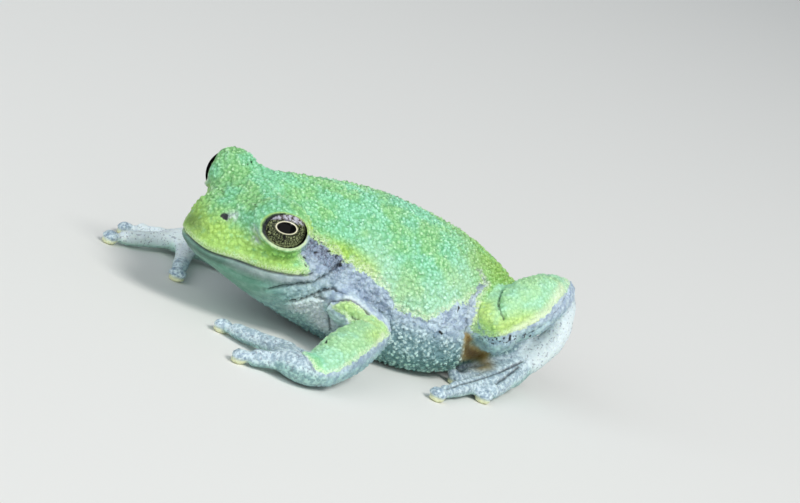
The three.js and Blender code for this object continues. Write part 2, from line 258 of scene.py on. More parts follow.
class Clay:
    """A mesh being sculpted: its points, and which points each one touches."""

    def __init__(self, mesh):
        self.mesh = mesh
        self.points = np.empty(len(mesh.vertices) * 3, np.float32)
        mesh.vertices.foreach_get("co", self.points)
        self.points = self.points.reshape(-1, 3)
        edges = np.empty(len(mesh.edges) * 2, np.int32)
        mesh.edges.foreach_get("vertices", edges)
        edges = edges.reshape(-1, 2)
        links = np.concatenate([edges, edges[:, ::-1]])
        links = links[np.argsort(links[:, 0], kind="stable")]
        self.touching = links[:, 1]
        self.counts = np.bincount(links[:, 0], minlength=len(self.points)).astype(np.float32)
        self.starts = np.searchsorted(links[:, 0], np.arange(len(self.points)))

    def around(self, values):
        """The mean of the values at the points that each point touches."""
        sums = np.add.reduceat(values[self.touching], self.starts, axis=0)
        return sums / (self.counts if values.ndim == 1 else self.counts[:, None])

    def blurred(self, values, rounds):
        """The values spread over the surface."""
        for _ in range(rounds):
            values = values + (self.around(values) - values) * SPREAD
        return values

    def patch(self, centre, reach):
        """The points within reach of a place as clay without a mesh. Its index holds their numbers here."""
        near = np.linalg.norm(self.points - np.asarray(centre), axis=1) < reach
        number = np.cumsum(near) - 1
        source = np.repeat(np.arange(len(self.points)), self.counts.astype(int))
        kept = near[source] & near[self.touching]
        part = Clay.__new__(Clay)
        part.index = np.flatnonzero(near)
        part.points = self.points[near]
        part.touching = number[self.touching[kept]]
        part.counts = np.bincount(number[source[kept]], minlength=len(part.points)).astype(np.float32)
        part.starts = np.concatenate([[0], np.cumsum(part.counts.astype(int))[:-1]])
        return part

    def fill_hollows(self, centre, reach, rounds):
        """Raises the hollows round a place until they are gently filled."""
        part = self.patch(centre, reach)
        normals = self.normals()[part.index]
        away = np.linalg.norm(part.points - np.asarray(centre), axis=1)
        share = 1 - ramp(away, reach * 0.6, reach * 0.95)
        for _ in range(rounds):
            pull = part.around(part.points) - part.points
            rise = np.clip((pull * normals).sum(1), 0, None) * share
            part.points += normals * rise[:, None]
        self.points[part.index] = part.points

    def relax(self, strength, rounds):
        """Smooths the shape where strength is above 0."""
        pull = (strength * SPREAD)[:, None]
        for _ in range(rounds):
            self.points += (self.around(self.points) - self.points) * pull

    def normals(self):
        """The outward direction at each point."""
        self.store()
        found = np.empty(len(self.points) * 3, np.float32)
        self.mesh.vertex_normals.foreach_get("vector", found)
        return found.reshape(-1, 3)

    def store(self):
        """Puts the points back in the mesh."""
        self.mesh.vertices.foreach_set("co", np.ascontiguousarray(self.points, np.float32).ravel())
        self.mesh.update()

    def lift(self, heights):
        """Moves the points out along their normals."""
        self.points += self.normals() * heights[:, None]


def path_distance(points, path, reach=2.0):
    """Each point's distance from a path, and its offset from the nearest place on it.
    Points further than reach from the path's box get reach and no offset."""
    path = np.asarray(path, float)
    distance = np.full(len(points), reach)
    offset = np.zeros((len(points), 3))
    near = np.flatnonzero(np.all((points > path.min(0) - reach) & (points < path.max(0) + reach), axis=1))
    some = points[near].astype(float)
    best = np.full(len(some), reach)
    gaps = np.zeros((len(some), 3))
    for start, end in zip(path[:-1], path[1:]):
        step = end - start
        share = np.clip((some - start) @ step / (step @ step), 0, 1)
        gap = some - start - share[:, None] * step
        length = np.linalg.norm(gap, axis=1)
        closer = length < best
        best[closer] = length[closer]
        gaps[closer] = gap[closer]
    distance[near] = best
    offset[near] = gaps
    return distance, offset


def on_surface(tree, path, steps=4):
    """A path made finer, with each of its places moved to the nearest place on the surface."""
    path = np.asarray(path, float)
    shares = np.linspace(0, len(path) - 1, (len(path) - 1) * steps + 1)
    fine = np.stack([np.interp(shares, np.arange(len(path)), path[:, axis]) for axis in range(3)], 1)
    for _ in range(steps):
        fine[1:-1] = (fine[:-2] + fine[1:-1] * 2 + fine[2:]) / 4
    return np.array([tree.find_nearest(place)[0] for place in fine.tolist()])


# -------- skin: the smooth form


def swollen_shells(names):
    """The named nodes as closed shells in the frog's millimetres, each swollen to overlap its neighbours."""
    shells = bmesh.new()
    for name in names:
        shells.from_mesh(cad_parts[name].data)
    bmesh.ops.remove_doubles(shells, verts=shells.verts, dist=MERGE)
    bmesh.ops.transform(shells, matrix=FRAME_TO_FROG, verts=shells.verts)
    shells.normal_update()
    moves = [v.normal * SWELL * min(v.calc_shell_factor(), SPIKE) for v in shells.verts]
    for vert, move in zip(shells.verts, moves):
        vert.co += move
    mesh = bpy.data.meshes.new("shells")
    shells.to_mesh(mesh)
    shells.free()
    return mesh


def one_surface(mesh):
    """All the shells joined as one surface of even small faces."""
    piece = placed("shells", mesh)
    remesh = piece.modifiers.new("Remesh", "REMESH")
    remesh.mode = "VOXEL"
    remesh.voxel_size = VOXEL
    return finished(piece)


def owners(points):
    """For each point, the name of the nearest node."""
    verts, faces, names = [], [], []
    for name in sorted(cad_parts):
        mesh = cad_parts[name].data
        first = len(verts)
        verts += [FRAME_TO_FROG @ v.co for v in mesh.vertices]
        faces += [[first + i for i in face.vertices] for face in mesh.polygons]
        names += [name] * len(mesh.polygons)
    tree = BVHTree.FromPolygons(verts, faces)
    return np.array([names[tree.find_nearest(point)[2]] for point in points.tolist()])


SOFTNESS = {"head": 1, "lower": 1, "trunk": 1, "rump": 1, "eye": 0.5, "finger": 0.06, "toe": 0.06}
LIMB_SOFTNESS = 0.3
SOFTENING = 110  # rounds of smoothing that make one soft form of the nodes


def smooth_form():
    """The frog's smooth shape, with the name of the node that each point belongs to."""
    clay = Clay(one_surface(swollen_shells(sorted(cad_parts))))
    part = owners(clay.points)
    softness = np.array([SOFTNESS.get(name.split("_")[0], LIMB_SOFTNESS) for name in part], np.float32)
    clay.relax(clay.blurred(softness, 6), SOFTENING)
    clay.points -= clay.blurred(clay.normals(), 4) * SWELL
    clay.relax(np.full(len(clay.points), 0.5, np.float32), 3)
    return clay, part


# -------- eyes: where they look

EYE_RADIUS = 2.5
EYE_SEGMENTS = (72, 48)  # round the ball, and from its front to its back
# From each solid eye's centre, on an upright left side.
EYE_SHIFT = {"left": (-0.05, 0.75, -0.25), "right": (-0.2, 0.15, 0.0)}
GAZE = {"left": (0.812, -0.516, 0.37), "right": (0.78, -0.60, 0.14)}
EYE_TILT = radians(12)  # how far the pupil's long axis climbs towards the back
OPENING_PLACE = {"left": (0.14, -0.09), "right": (-0.06, -0.09)}  # back and up, in radians round the eye
OPENING_SIZE = (0.94, 0.67)
LID = 0.12  # thickness of a lid away from its margin
LID_GAP = 0.07  # between the ball and a lid
LINING = 0.45  # how far inside the ball the skin lies in the opening
LID_EDGE = (0.93, 1.03)  # where round the eye the lids' edge begins and where they lie on the ball
LID_ROUND = (1.0, 1.15)  # where the lids' edge is thinnest and where they have their thickness
EYE_ZONE = 5  # how far from an eye's centre its lids reach


class Eye:
    """Where an eye is and looks: its centre, and its directions out, back and up."""

    def __init__(self, side):
        sign = SIDES[side]
        self.side = side
        shift = np.array(EYE_SHIFT[side]) * (sign, 1, 1)
        shift[2] -= HEAD_ROLL * shift[0]
        self.centre = in_frog("eye_" + side) + shift
        look = unit(GAZE[side]) * (sign, 1, 1)
        look[2] -= HEAD_ROLL * look[0]
        self.out = unit(look)
        top = unit((HEAD_ROLL, 0, 1))
        level_up = unit(top - self.out * (top @ self.out))
        level_back = sign * np.cross(level_up, self.out)
        self.back = cos(EYE_TILT) * level_back + sin(EYE_TILT) * level_up
        self.up = cos(EYE_TILT) * level_up - sin(EYE_TILT) * level_back

    def seen(self, points):
        """Each point's direction from the eye's centre as (back, up, out), and its distance."""
        arm = points - self.centre
        distance = np.linalg.norm(arm, axis=1)
        arm = arm / distance[:, None]
        return np.stack([arm @ self.back, arm @ self.up, arm @ self.out], 1), distance

    def lid_place(self, seen):
        """0 at the middle of the lids' opening, 1 at its margin, and more further round the eye."""
        level = np.hypot(seen[:, 0], seen[:, 1])
        spread = np.arctan2(level, seen[:, 2]) / np.maximum(level, 1e-6)
        across = (seen[:, 0] * spread - OPENING_PLACE[self.side][0]) / OPENING_SIZE[0]
        above = (seen[:, 1] * spread - OPENING_PLACE[self.side][1]) / OPENING_SIZE[1]
        return np.hypot(across, above)


def open_lids(clay, eye):
    """Opens the skin over the eye and gives it lids that lie on the ball."""
    seen, distance = eye.seen(clay.points)
    place = eye.lid_place(seen)
    near = (distance < EYE_ZONE) & (seen[:, 2] > -0.35)
    lid = EYE_RADIUS + LID_GAP + LID * ramp(place, *LID_ROUND)
    shut = np.maximum(distance, lid)
    inside = EYE_RADIUS - LINING
    wanted = inside + (shut - inside) * ramp(place, *LID_EDGE)
    arm = (clay.points - eye.centre) / distance[:, None]
    moved = eye.centre + arm * wanted[:, None]
    clay.points = np.where(near[:, None], moved, clay.points).astype(np.float32)


# -------- skin: folds, nostrils and toes


def tree_of(clay):
    """The clay's surface, to find nearest places on."""
    clay.store()
    faces = [tuple(face.vertices) for face in clay.mesh.polygons]
    return BVHTree.FromPolygons(clay.points.tolist(), faces)


def leg_places(path, side):
    """A left hind leg's places, moved to the same places of the given side's hind leg."""
    if side == "left":
        return np.array(path, float)
    mirror = (-1, 1, 1)
    left, right = (in_frog("thigh_" + name) for name in SIDES)
    return (np.array(path, float) + right * mirror - left) * mirror


def folds_of(side):
    """The folds of one side, each with its path where it is on that side."""
    own = [(fold, fold.path) for fold in LEFT_FOLDS] if side == "left" else []
    legs = [(fold, leg_places(fold.path, side)) for fold in LEG_FOLDS]
    return [(fold, leaning(fold.path, SIDES[side])) for fold in FOLDS] + legs + own


def press_folds(clay, tree):
    """Presses every fold's groove and raises the skin beside it. Returns how dark each groove's bed is
    painted, as painted shade in the groove.
    """
    height = np.zeros(len(clay.points))
    seam = np.zeros(len(clay.points))
    for side in SIDES:
        for fold, path in folds_of(side):
            distance, offset = path_distance(clay.points, on_surface(tree, path))
            height -= fold.depth * bell(distance, fold.width)
            swell = bell(distance - BESIDE, BESIDE_WIDTH)
            height += swell * np.where(offset[:, 2] > 0, fold.above, fold.below)
            seam = np.maximum(seam, fold.dark * np.clip(1 - distance / SEAM, 0, 1))
    clay.lift(height)
    return seam


NOSTRIL_SIZE = 0.36
NOSTRIL_DEPTH = 0.26
NOSTRIL_RIM = 0.1


def open_nostrils(clay, tree):
    """Sinks the nostrils, each with a raised rim. Returns how near each point is to one."""
    height = np.zeros(len(clay.points))
    near = np.zeros(len(clay.points))
    for side in SIDES:
        place = np.array(tree.find_nearest(leaning(NOSTRIL, SIDES[side])[0].tolist())[0])
        away = np.linalg.norm(clay.points - place, axis=1)
        height += NOSTRIL_RIM * bell(away - NOSTRIL_SIZE * 2, 0.2)
        height -= NOSTRIL_DEPTH * bell(away, NOSTRIL_SIZE)
        near = np.maximum(near, bell(away, NOSTRIL_SIZE * 1.1))
    clay.lift(height)
    return near


# Soft swellings and hollows of the head and body: place on the upright left side, reach and height.
SWELLS = [
    ((2.9, 3.9, 11.3), 0.9, 0.14),  # the ridge from nostril to eye
    ((4.2, 4.4, 11.5), 0.9, 0.12),
    ((3.6, 3.3, 9.4), 1.1, -0.16),  # the hollow under it
    ((4.9, 4.2, 9.5), 0.9, -0.12),
    ((1.3, 1.6, 11.2), 1.0, 0.06),
    ((6.9, 12.7, 9.3), 0.75, 0.1),  # the eardrum's swelling
    ((7.0, 11.4, 10.2), 0.8, -0.12),
    ((8.6, 16.0, 6.6), 1.3, -0.25),  # behind the shoulder
    ((10.0, 18.6, 5.0), 1.8, -0.2),
    ((11.4, 29.4, 4.3), 1.1, -0.7),  # the groin
    ((0.0, 0.3, 9.3), 2.4, -0.25),  # the snout's tip
]
JAW_SWELL = 0.14
KNEE_SWELL = ((12.2, 28.4, 7.8), 1.5, 0.75)


def shape_swells(clay):
    """Raises and sinks the soft shapes of the head, the shoulder and the knees."""
    height = np.zeros(len(clay.points))
    for side in SIDES:
        swells = [(leaning(place, SIDES[side])[0], reach, rise) for place, reach, rise in SWELLS]
        place, reach, rise = KNEE_SWELL
        for spot, reach, rise in (*swells, (leg_places(place, side), reach, rise)):
            height += rise * bell(np.linalg.norm(clay.points - spot, axis=1), reach)
        height += JAW_SWELL * bell(path_distance(clay.points, leaning(JAW_ROLL, SIDES[side]))[0], 0.4)
    clay.lift(height)


def digits():
    """Each finger's and toe's tip and the way it points, in the frog's millimetres."""
    found = []
    for name in sorted(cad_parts):
        kind, side = name.split("_")[0], name.split("_")[-1]
        if kind not in ("finger", "toe"):
            continue
        root = in_frog(("hand_" if kind == "finger" else "foot_") + side)
        verts = np.array([FRAME_TO_FROG @ v.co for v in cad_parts[name].data.vertices])
        away = np.linalg.norm(verts - root, axis=1)
        tip = verts[away > away.max() - 0.25].mean(0)
        ahead = unit((tip - root) * (1, 1, 0))
        found.append((name, tip, ahead))
    return found


# Swellings along a digit's top, as (back from its tip, reach, height): its disc and two knuckles.
DIGIT_RISES = [(0.62, 0.4, 0.10), (2.2, 0.42, 0.13), (3.9, 0.5, 0.07)]
WAIST = (1.5, 0.28, 0.13)  # the narrow place behind the disc, in the same way
DISC_END = (1.15, 1.5)  # how far back the disc is whole and where it is gone
DIGIT_LENGTH = 6


def shape_digits(clay, part):
    """Gives each digit a rimmed disc, a waist and knuckles. Returns masks of the discs and their rims."""
    disc = np.zeros(len(clay.points))
    rim = np.zeros(len(clay.points))
    height = np.zeros(len(clay.points))
    for name, tip, ahead in digits():
        arm = clay.points - tip
        behind = -(arm @ ahead)
        own = (part == name) & (behind < DIGIT_LENGTH)
        behind = np.where(own, behind, 50.0)
        level = clay.points[:, 2]
        top = ramp(level, 0.35, 0.9)
        for place, reach, rise in DIGIT_RISES:
            height += rise * bell(behind - place, reach) * top
        place, reach, drop = WAIST
        height -= drop * bell(behind - place, reach)
        on_disc = 1 - ramp(behind, *DISC_END)
        height += 0.12 * on_disc * (1 - ramp(level, 0.16, 0.42))
        height -= 0.1 * on_disc * bell(level - 0.5, 0.12)
        disc = np.maximum(disc, on_disc * ramp(level, 0.3, 0.7))
        rim = np.maximum(rim, on_disc * (1 - ramp(level, 0.34, 0.6)))
    clay.lift(height)
    return disc, rim


# -------- skin: where each colour lies

# Zones of the head and body. Each limit is an axis, 1 back or 2 up, and where the zone is gone and is full.
ZONES = {
    "lip": [(1, 11.5, 9.5)],
    "under lip": [(1, 11.5, 10.5)],
    "snout": [(1, 2.2, 0.6), (2, 7.3, 8.5), (2, 12.0, 10.5)],
    "tip": [(1, 2.2, 0.2)],
    "cheek": [(1, 10.8, 8.0), (2, 11.0, 9.2)],
    "head": [(1, 9, 5)],
    "throat": [(1, 16, 12), (2, 8.8, 6.2)],
    "chin": [(1, 10, 6)],
    "belly": [(1, 11, 19), (2, 6.4, 3.6)],
    "low side": [(1, 14, 18)],
    "rump": [(1, 25, 33), (2, 7.5, 9.5)],
}
# Bands of colour: their lines on the upright left side.
DARK_BAND = [
    (6.7, 9.9, 10.0), (6.6, 10.6, 10.0), (6.9, 12.3, 9.5), (7.3, 13.6, 8.6), (8.0, 15.2, 7.2),
    (9.2, 17.4, 5.7), (10.0, 19.2, 4.5), (10.3, 20.4, 3.6),
]
EAR_BAND = [(6.5, 10.2, 10.6), (6.5, 11.2, 10.3), (6.9, 12.3, 9.8), (7.2, 13.4, 9.2)]
BAND_SPECKS = [
    (6.0, 10.5, 11.0), (6.0, 11.1, 10.8), (6.3, 11.9, 10.45), (6.6, 12.7, 10.1), (6.9, 13.5, 9.6),
    (7.2, 14.3, 9.0),
]
JAW_ROLL = [
    (4.7, 4.4, 6.5), (5.8, 6.3, 6.75), (6.7, 8.4, 7.05), (7.1, 10.3, 7.45), (7.2, 11.9, 8.0),
    (7.1, 12.9, 8.9),
]
CHEST = [(6.7, 11.6, 4.3), (7.3, 12.8, 4.7), (7.0, 13.8, 3.6), (6.9, 15.0, 2.7)]
ARMPIT = [(8.4, 13.5, 4.9), (9.0, 13.7, 4.0), (9.8, 13.9, 4.0), (10.6, 13.8, 4.3)]
GROIN = [(11.9, 27.8, 5.5), (11.6, 28.8, 4.5), (11.2, 29.6, 3.6), (10.0, 32.6, 2.7)]
GROIN_REACH = [(2.8, 2.2), (4.3, 1.5), (6.0, 0.4)]  # how wide it is at each height
RUMP_LINE = [(8.6, 29.2, 11.2), (9.1, 30.1, 10.5)]
KNEE_FRONT = [(9.8, 29.3, 10.0), (11.0, 27.7, 9.1), (11.8, 27.3, 7.8), (12.0, 27.6, 6.2), (12.4, 28.6, 5.6)]
KNEE_SPECKS = [(12.6, 28.8, 5.8), (13.5, 29.4, 6.0), (14.1, 30.6, 6.4), (14.0, 32.2, 6.8), (13.7, 33.6, 7.2)]
SHANK_RIM = [
    (14.3, 31.3, 7.7), (14.3, 32.5, 8.5), (14.2, 33.6, 9.4), (13.8, 34.6, 10.2), (13.2, 35.6, 11.3),
    (11.8, 37.1, 12.0),
]
ARM_RIM = [
    (18.0, 6.4, 2.8), (18.1, 7.5, 2.9), (17.8, 9.3, 3.2), (17.1, 11.1, 3.6), (16.1, 13.1, 4.0),
    (14.8, 15.0, 4.4), (13.6, 16.4, 5.0),
]
# Yellow lines in the green.
KNEE_GOLD = [(12.1, 28.2, 8.0), (12.9, 28.9, 7.0), (13.9, 30.2, 7.3), (14.2, 32.6, 8.2)]
NAPE = [(7.0, 9.6, 12.2), (6.9, 11.4, 11.3), (7.1, 13.2, 10.4), (7.5, 14.6, 9.9), (8.3, 16.4, 8.9)]
FOREARM_GOLD = [(16.9, 6.9, 3.5), (15.6, 9.4, 4.0), (14.9, 12.4, 5.0), (14.0, 15.6, 5.0), (13.0, 16.8, 5.3)]
UPPER_GOLD = [(9.0, 13.5, 6.0), (10.2, 14.3, 6.3), (11.4, 15.0, 6.0), (12.8, 16.0, 5.7)]
WRIST_GOLD = [(16.6, 5.8, 3.1), (17.6, 6.3, 3.0), (18.3, 6.9, 2.4)]
# What is painted along lines: each line, how far it is full, where it ends, and its strength.
PAINTED = {
    "gold": [
        (KNEE_GOLD, 0.8, 2.3, 1.0),
        (NAPE, 0.5, 2.0, 0.9),
        (FOREARM_GOLD, 0.2, 1.2, 0.7),
        (UPPER_GOLD, 0.5, 1.6, 0.7),
        (WRIST_GOLD, 0.1, 0.6, 0.7),
    ],
    "milky": [(SHANK_RIM, 0.0, 1.3, 0.75), (ARM_RIM, 0.0, 0.6, 0.8), (ELBOW, 0.1, 0.6, 0.5)],
}
# Where the upper arm's green ends, as (how far out, how far back and up in all).
SHOULDER_EDGE = [(8.1, 18.8), (9.1, 19.1), (9.8, 21.0), (11.0, 21.7), (11.5, 21.8), (13.0, 22.7)]
WRIST = {"left": -0.15, "right": 1.8}  # where the arm's green ends, from the hand's middle
THUMB_SIDE = 16.3  # how far out the green on the back of the hand begins
KNEE_OUT = 9  # how far out the trunk's skin belongs to the knee
FAR_HAND = -9  # the right hand lies beyond this; it is painted whiter there as painted light
TURN = 3  # how fast green ends where a limb turns away from its own upper side


def kinds(part):
    """Each point's kind of body part, from its node's name."""
    names, index = np.unique(part, return_inverse=True)
    short = np.array([name.replace("_left", "").replace("_right", "").rstrip("_12345") for name in names])
    return short[index]


class Places:
    """Where each skin point is on an upright left side, which way it faces and what it belongs to."""

    def __init__(self, clay, part):
        self.true = clay.points
        self.points = upright(clay.points)
        self.points[:, 0] = np.abs(self.points[:, 0])
        self.back = self.points[:, 1]
        self.level = self.points[:, 2]
        self.facing = clay.blurred(clay.normals(), 4)
        self.facing[:, 0] *= np.sign(clay.points[:, 0])
        self.kind = kinds(part)
        self.body = self.is_a("head", "lower_jaw", "trunk", "rump", "eye")
        self.hands = self.is_a("hand", "finger", "toe", "foot", "tarsus").astype(float)
        self.above_mouth = self.level - along(np.array(MOUTH)[:, 1:], self.back)

    def is_a(self, *names):
        """Which points belong to one of these kinds of part."""
        return np.isin(self.kind, names)

    def on(self, side):
        """Which points are on the given side."""
        return self.true[:, 0] * SIDES[side] > 0

    def zone(self, name):
        """1 inside a zone of the body, fading to 0 at its limits."""
        share = self.body.astype(float)
        for axis, gone, full in ZONES[name]:
            share *= ramp(self.points[:, axis], gone, full)
        return share

    def near(self, path, full, gone, leaned=False):
        """1 within full of a path and 0 at gone. A leaned path lies on the left side as it leans."""
        points = self.true if leaned else self.points
        return 1 - ramp(path_distance(points, path, gone + 0.5)[0], full, gone)

    def most(self, name, *others):
        """The greatest of a colour's painted lines and of the other shares."""
        lines = [self.near(line, full, gone) * share for line, full, gone, share in PAINTED[name]]
        return np.max([*others, *lines], axis=0)


def green_of_arms(at):
    """How far inside the green the points of the forearms and hands are."""
    top = (at.facing[:, 2] - 0.36) * TURN
    green = top
    for side in SIDES:
        hand = in_frog("hand_" + side)
        up_arm = (at.true - hand) @ unit(in_frog("forearm_" + side) - hand)
        green = np.where(at.on(side), np.minimum(top, (up_arm - WRIST[side]) * 2), green)
    return np.where(at.kind == "hand", np.minimum(green, (at.points[:, 0] - THUMB_SIDE) * 2), green)


def green_with_legs(at, green):
    """The green with the hind legs' own edges, and with the trunk's skin that joins the left knee."""
    behind = at.back - along(KNEE_EDGE, at.level)
    joined = (at.kind == "trunk") & (behind > 0) & (at.level < KNEE_EDGE[-1][0]) & (at.true[:, 0] > KNEE_OUT)
    leg = at.is_a("thigh", "shank") | joined
    turned_up = (at.facing @ (0.35, -0.1, 0.9) + 0.3) * TURN
    for side in SIDES:
        top = (FRAME_TO_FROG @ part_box("shank_" + side)[1]).z
        edge = at.level - top - along(LEG_EDGE, at.back)
        edge = np.where(joined, np.minimum(edge, behind - KNEE_RIM), edge)
        green = np.where(at.on(side) & leg, np.minimum(edge, turned_up), green)
    return green


def green_depth(at):
    """How far inside the green each point is, in millimetres, and below 0 outside it."""
    ahead = along(CHEEK_EDGE, at.level) - at.back
    green = np.maximum(at.level - along(GREEN_EDGE, at.back), np.minimum(at.above_mouth, ahead))
    turned_up = (at.facing @ (0.2, -0.3, 0.93) - 0.2) * TURN
    upper = np.minimum(turned_up, (at.level - 4.6) * 1.5)
    upper = np.minimum(upper, along(SHOULDER_EDGE, at.points[:, 0]) - at.back - at.level)
    green = np.where(at.kind == "upper_arm", upper, green)
    green = np.where(at.is_a("forearm", "hand"), green_of_arms(at), green)
    green = green_with_legs(at, green)
    return np.where(at.is_a("finger", "toe", "foot", "tarsus"), -2.0, green)


def pale_share(at, chest, tarsus, rump_line):
    """How white the grey skin is: in the folds, and on the chest, the feet and the far hand. The far hand's
    white is painted light on a hand that lies in shade; the chest's and the tarsus's are partly their own
    pale colour and partly painted light in their shade.
    """
    return np.max([
        rump_line,
        chest,
        at.near(KNEE_FRONT, 0.2, 0.7) * 0.25,
        at.near(JAW_ROLL, 0.2, 0.75) * at.body * (at.above_mouth < 0.05) * 0.25,
        at.near(ARMPIT, 0.3, 0.9, leaned=True) * 0.8,
        at.near(SHOULDER[3:], 0.15, 0.55, leaned=True) * 0.6,
        tarsus,
        # Painted light: the far hand lies in shade and is painted whiter.
        at.hands * (at.true[:, 0] < FAR_HAND) * 0.9,
    ], axis=0)


def patch_share(at):
    """How far each point is in the head's pale patches."""
    share = np.zeros(len(at.points))
    for place, reach in PALE_PATCHES:
        share = np.maximum(share, bell(np.linalg.norm(at.points - place, axis=1), reach))
    return share


def mark_share(at):
    """How far each point is in the left side's black marks."""
    share = np.zeros(len(at.points))
    for ends in BLACK_MARKS:
        share = np.maximum(share, np.clip(1 - path_distance(at.true, ends, 1.0)[0] / MARK, 0, 1))
    return share


def coarseness(at, smooth):
    """How high the granules stand; smooth holds pairs of a zone's share and how smooth it is."""
    share = np.where(at.body, 0.85 + 0.15 * ramp(at.back, 7, 13), 0.5)
    for zone, strength in smooth:
        share = share * (1 - strength * zone)
    return share


def paint(clay, part):
    """The masks that say where each colour of the skin lies."""
    at = Places(clay, part)
    green = green_depth(at)
    low = 1 - ramp(green, 1.5, 5)
    # The strip under the lip's overhang, where shade is painted.
    lip = at.zone("lip") * bell(at.above_mouth - 0.3, 0.75) * (at.above_mouth > -0.2)
    lip_shadow = at.zone("under lip") * bell(at.above_mouth + 0.5, 0.4) * (at.above_mouth < 0)
    snout, rump, belly = (at.zone(name) for name in ("snout", "rump", "belly"))
    cheek = at.zone("cheek") * 0.85
    throat = at.zone("throat") * (0.35 + 0.65 * at.zone("chin"))
    # The chest's own pale skin, painted paler still as painted light where it lies in shade.
    chest = at.near(CHEST, 0.3, 2.2) * at.body
    rump_line = at.near(RUMP_LINE, 0.1, 0.5) * at.body * 0.7
    # The tarsus's own pale skin, painted paler still as painted light where it lies in shade.
    tarsus = clay.blurred(at.is_a("tarsus").astype(float), 25) * 0.8
    away = path_distance(at.points, GROIN)[0] / along(GROIN_REACH, at.level)
    groin = (1 - ramp(away, 0.0, 1.0)) * ramp(at.facing[:, 0], -0.5, 0)
    band = at.near(DARK_BAND, 0.7, 2.3) * (0.25 + 0.35 * ramp(at.back, 16, 19))
    # How far the skin must face down before its painted shade begins; sooner on the forearms, hands and
    # feet.
    under = 0.15 + at.is_a("forearm", "hand", "foot") * 0.4
    limbs = at.is_a("forearm", "upper_arm", "thigh", "shank")
    masks = {
        "green": green,
        # How far the tops turn mint: partly the skin's own colour, partly a painted sheen of the sky that
        # grows towards the back, the lower sides and the limbs.
        "mint": np.where(at.body, 0.45 + ramp(at.back, 9, 20) * (0.3 + 0.25 * low), 0.8) * (1 - rump),
        "ragged": np.where(at.body, 0.12 + 0.88 * ramp(at.back, 9.3, 13), 0.5),
        "gold": at.most("gold", lip * 0.95, cheek, snout * 0.9, rump * 0.6),
        "band": np.maximum(band, at.near(EAR_BAND, 0.5, 1.4)) * at.body,
        "belly": belly,
        "throat": throat,
        "pale": pale_share(at, chest, tarsus, rump_line),
        "patch": np.maximum(patch_share(at), rump_line),
        "groin": groin,
        "specks": np.maximum(at.near(KNEE_SPECKS, 0.3, 0.9), at.near(BAND_SPECKS, 0.1, 0.5) * at.body),
        # Painted shade: darker at the snout's tip, which faces away from the light, and in the strip under
        # the lip's overhang; the head and the rump are also made a little darker.
        "tone": 1 - 0.6 * snout * at.zone("tip") - 0.13 * at.zone("head") - 0.1 * rump - 0.5 * lip_shadow,
        # Painted shade, with a green cast of bounced light, on the skin that faces down; little on the chest
        # and none on the tarsus.
        "below": ramp(-at.facing[:, 2], -under, 0.75 - under) * (1 - 0.9 * chest) * (1 - tarsus),
        "milky": at.most("milky", limbs * 0.2, low * at.zone("low side") * (1 - rump) * 0.25),
        "hands": at.hands,
        "coarse": coarseness(at, [
            (at.hands, 0.75), (throat * (1 - chest), 0.85), (lip, 0.8), (cheek, 0.45), (snout, 0.5),
            (groin, 0.9),
        ]),
    }
    masks = {name: clay.blurred(values, 3) for name, values in masks.items()}
    masks["marks"] = mark_share(at)
    return masks


# -------- node graphs


COLOUR_INPUTS = (0, 6, 7)  # a mix node's inputs for its share and its two colours


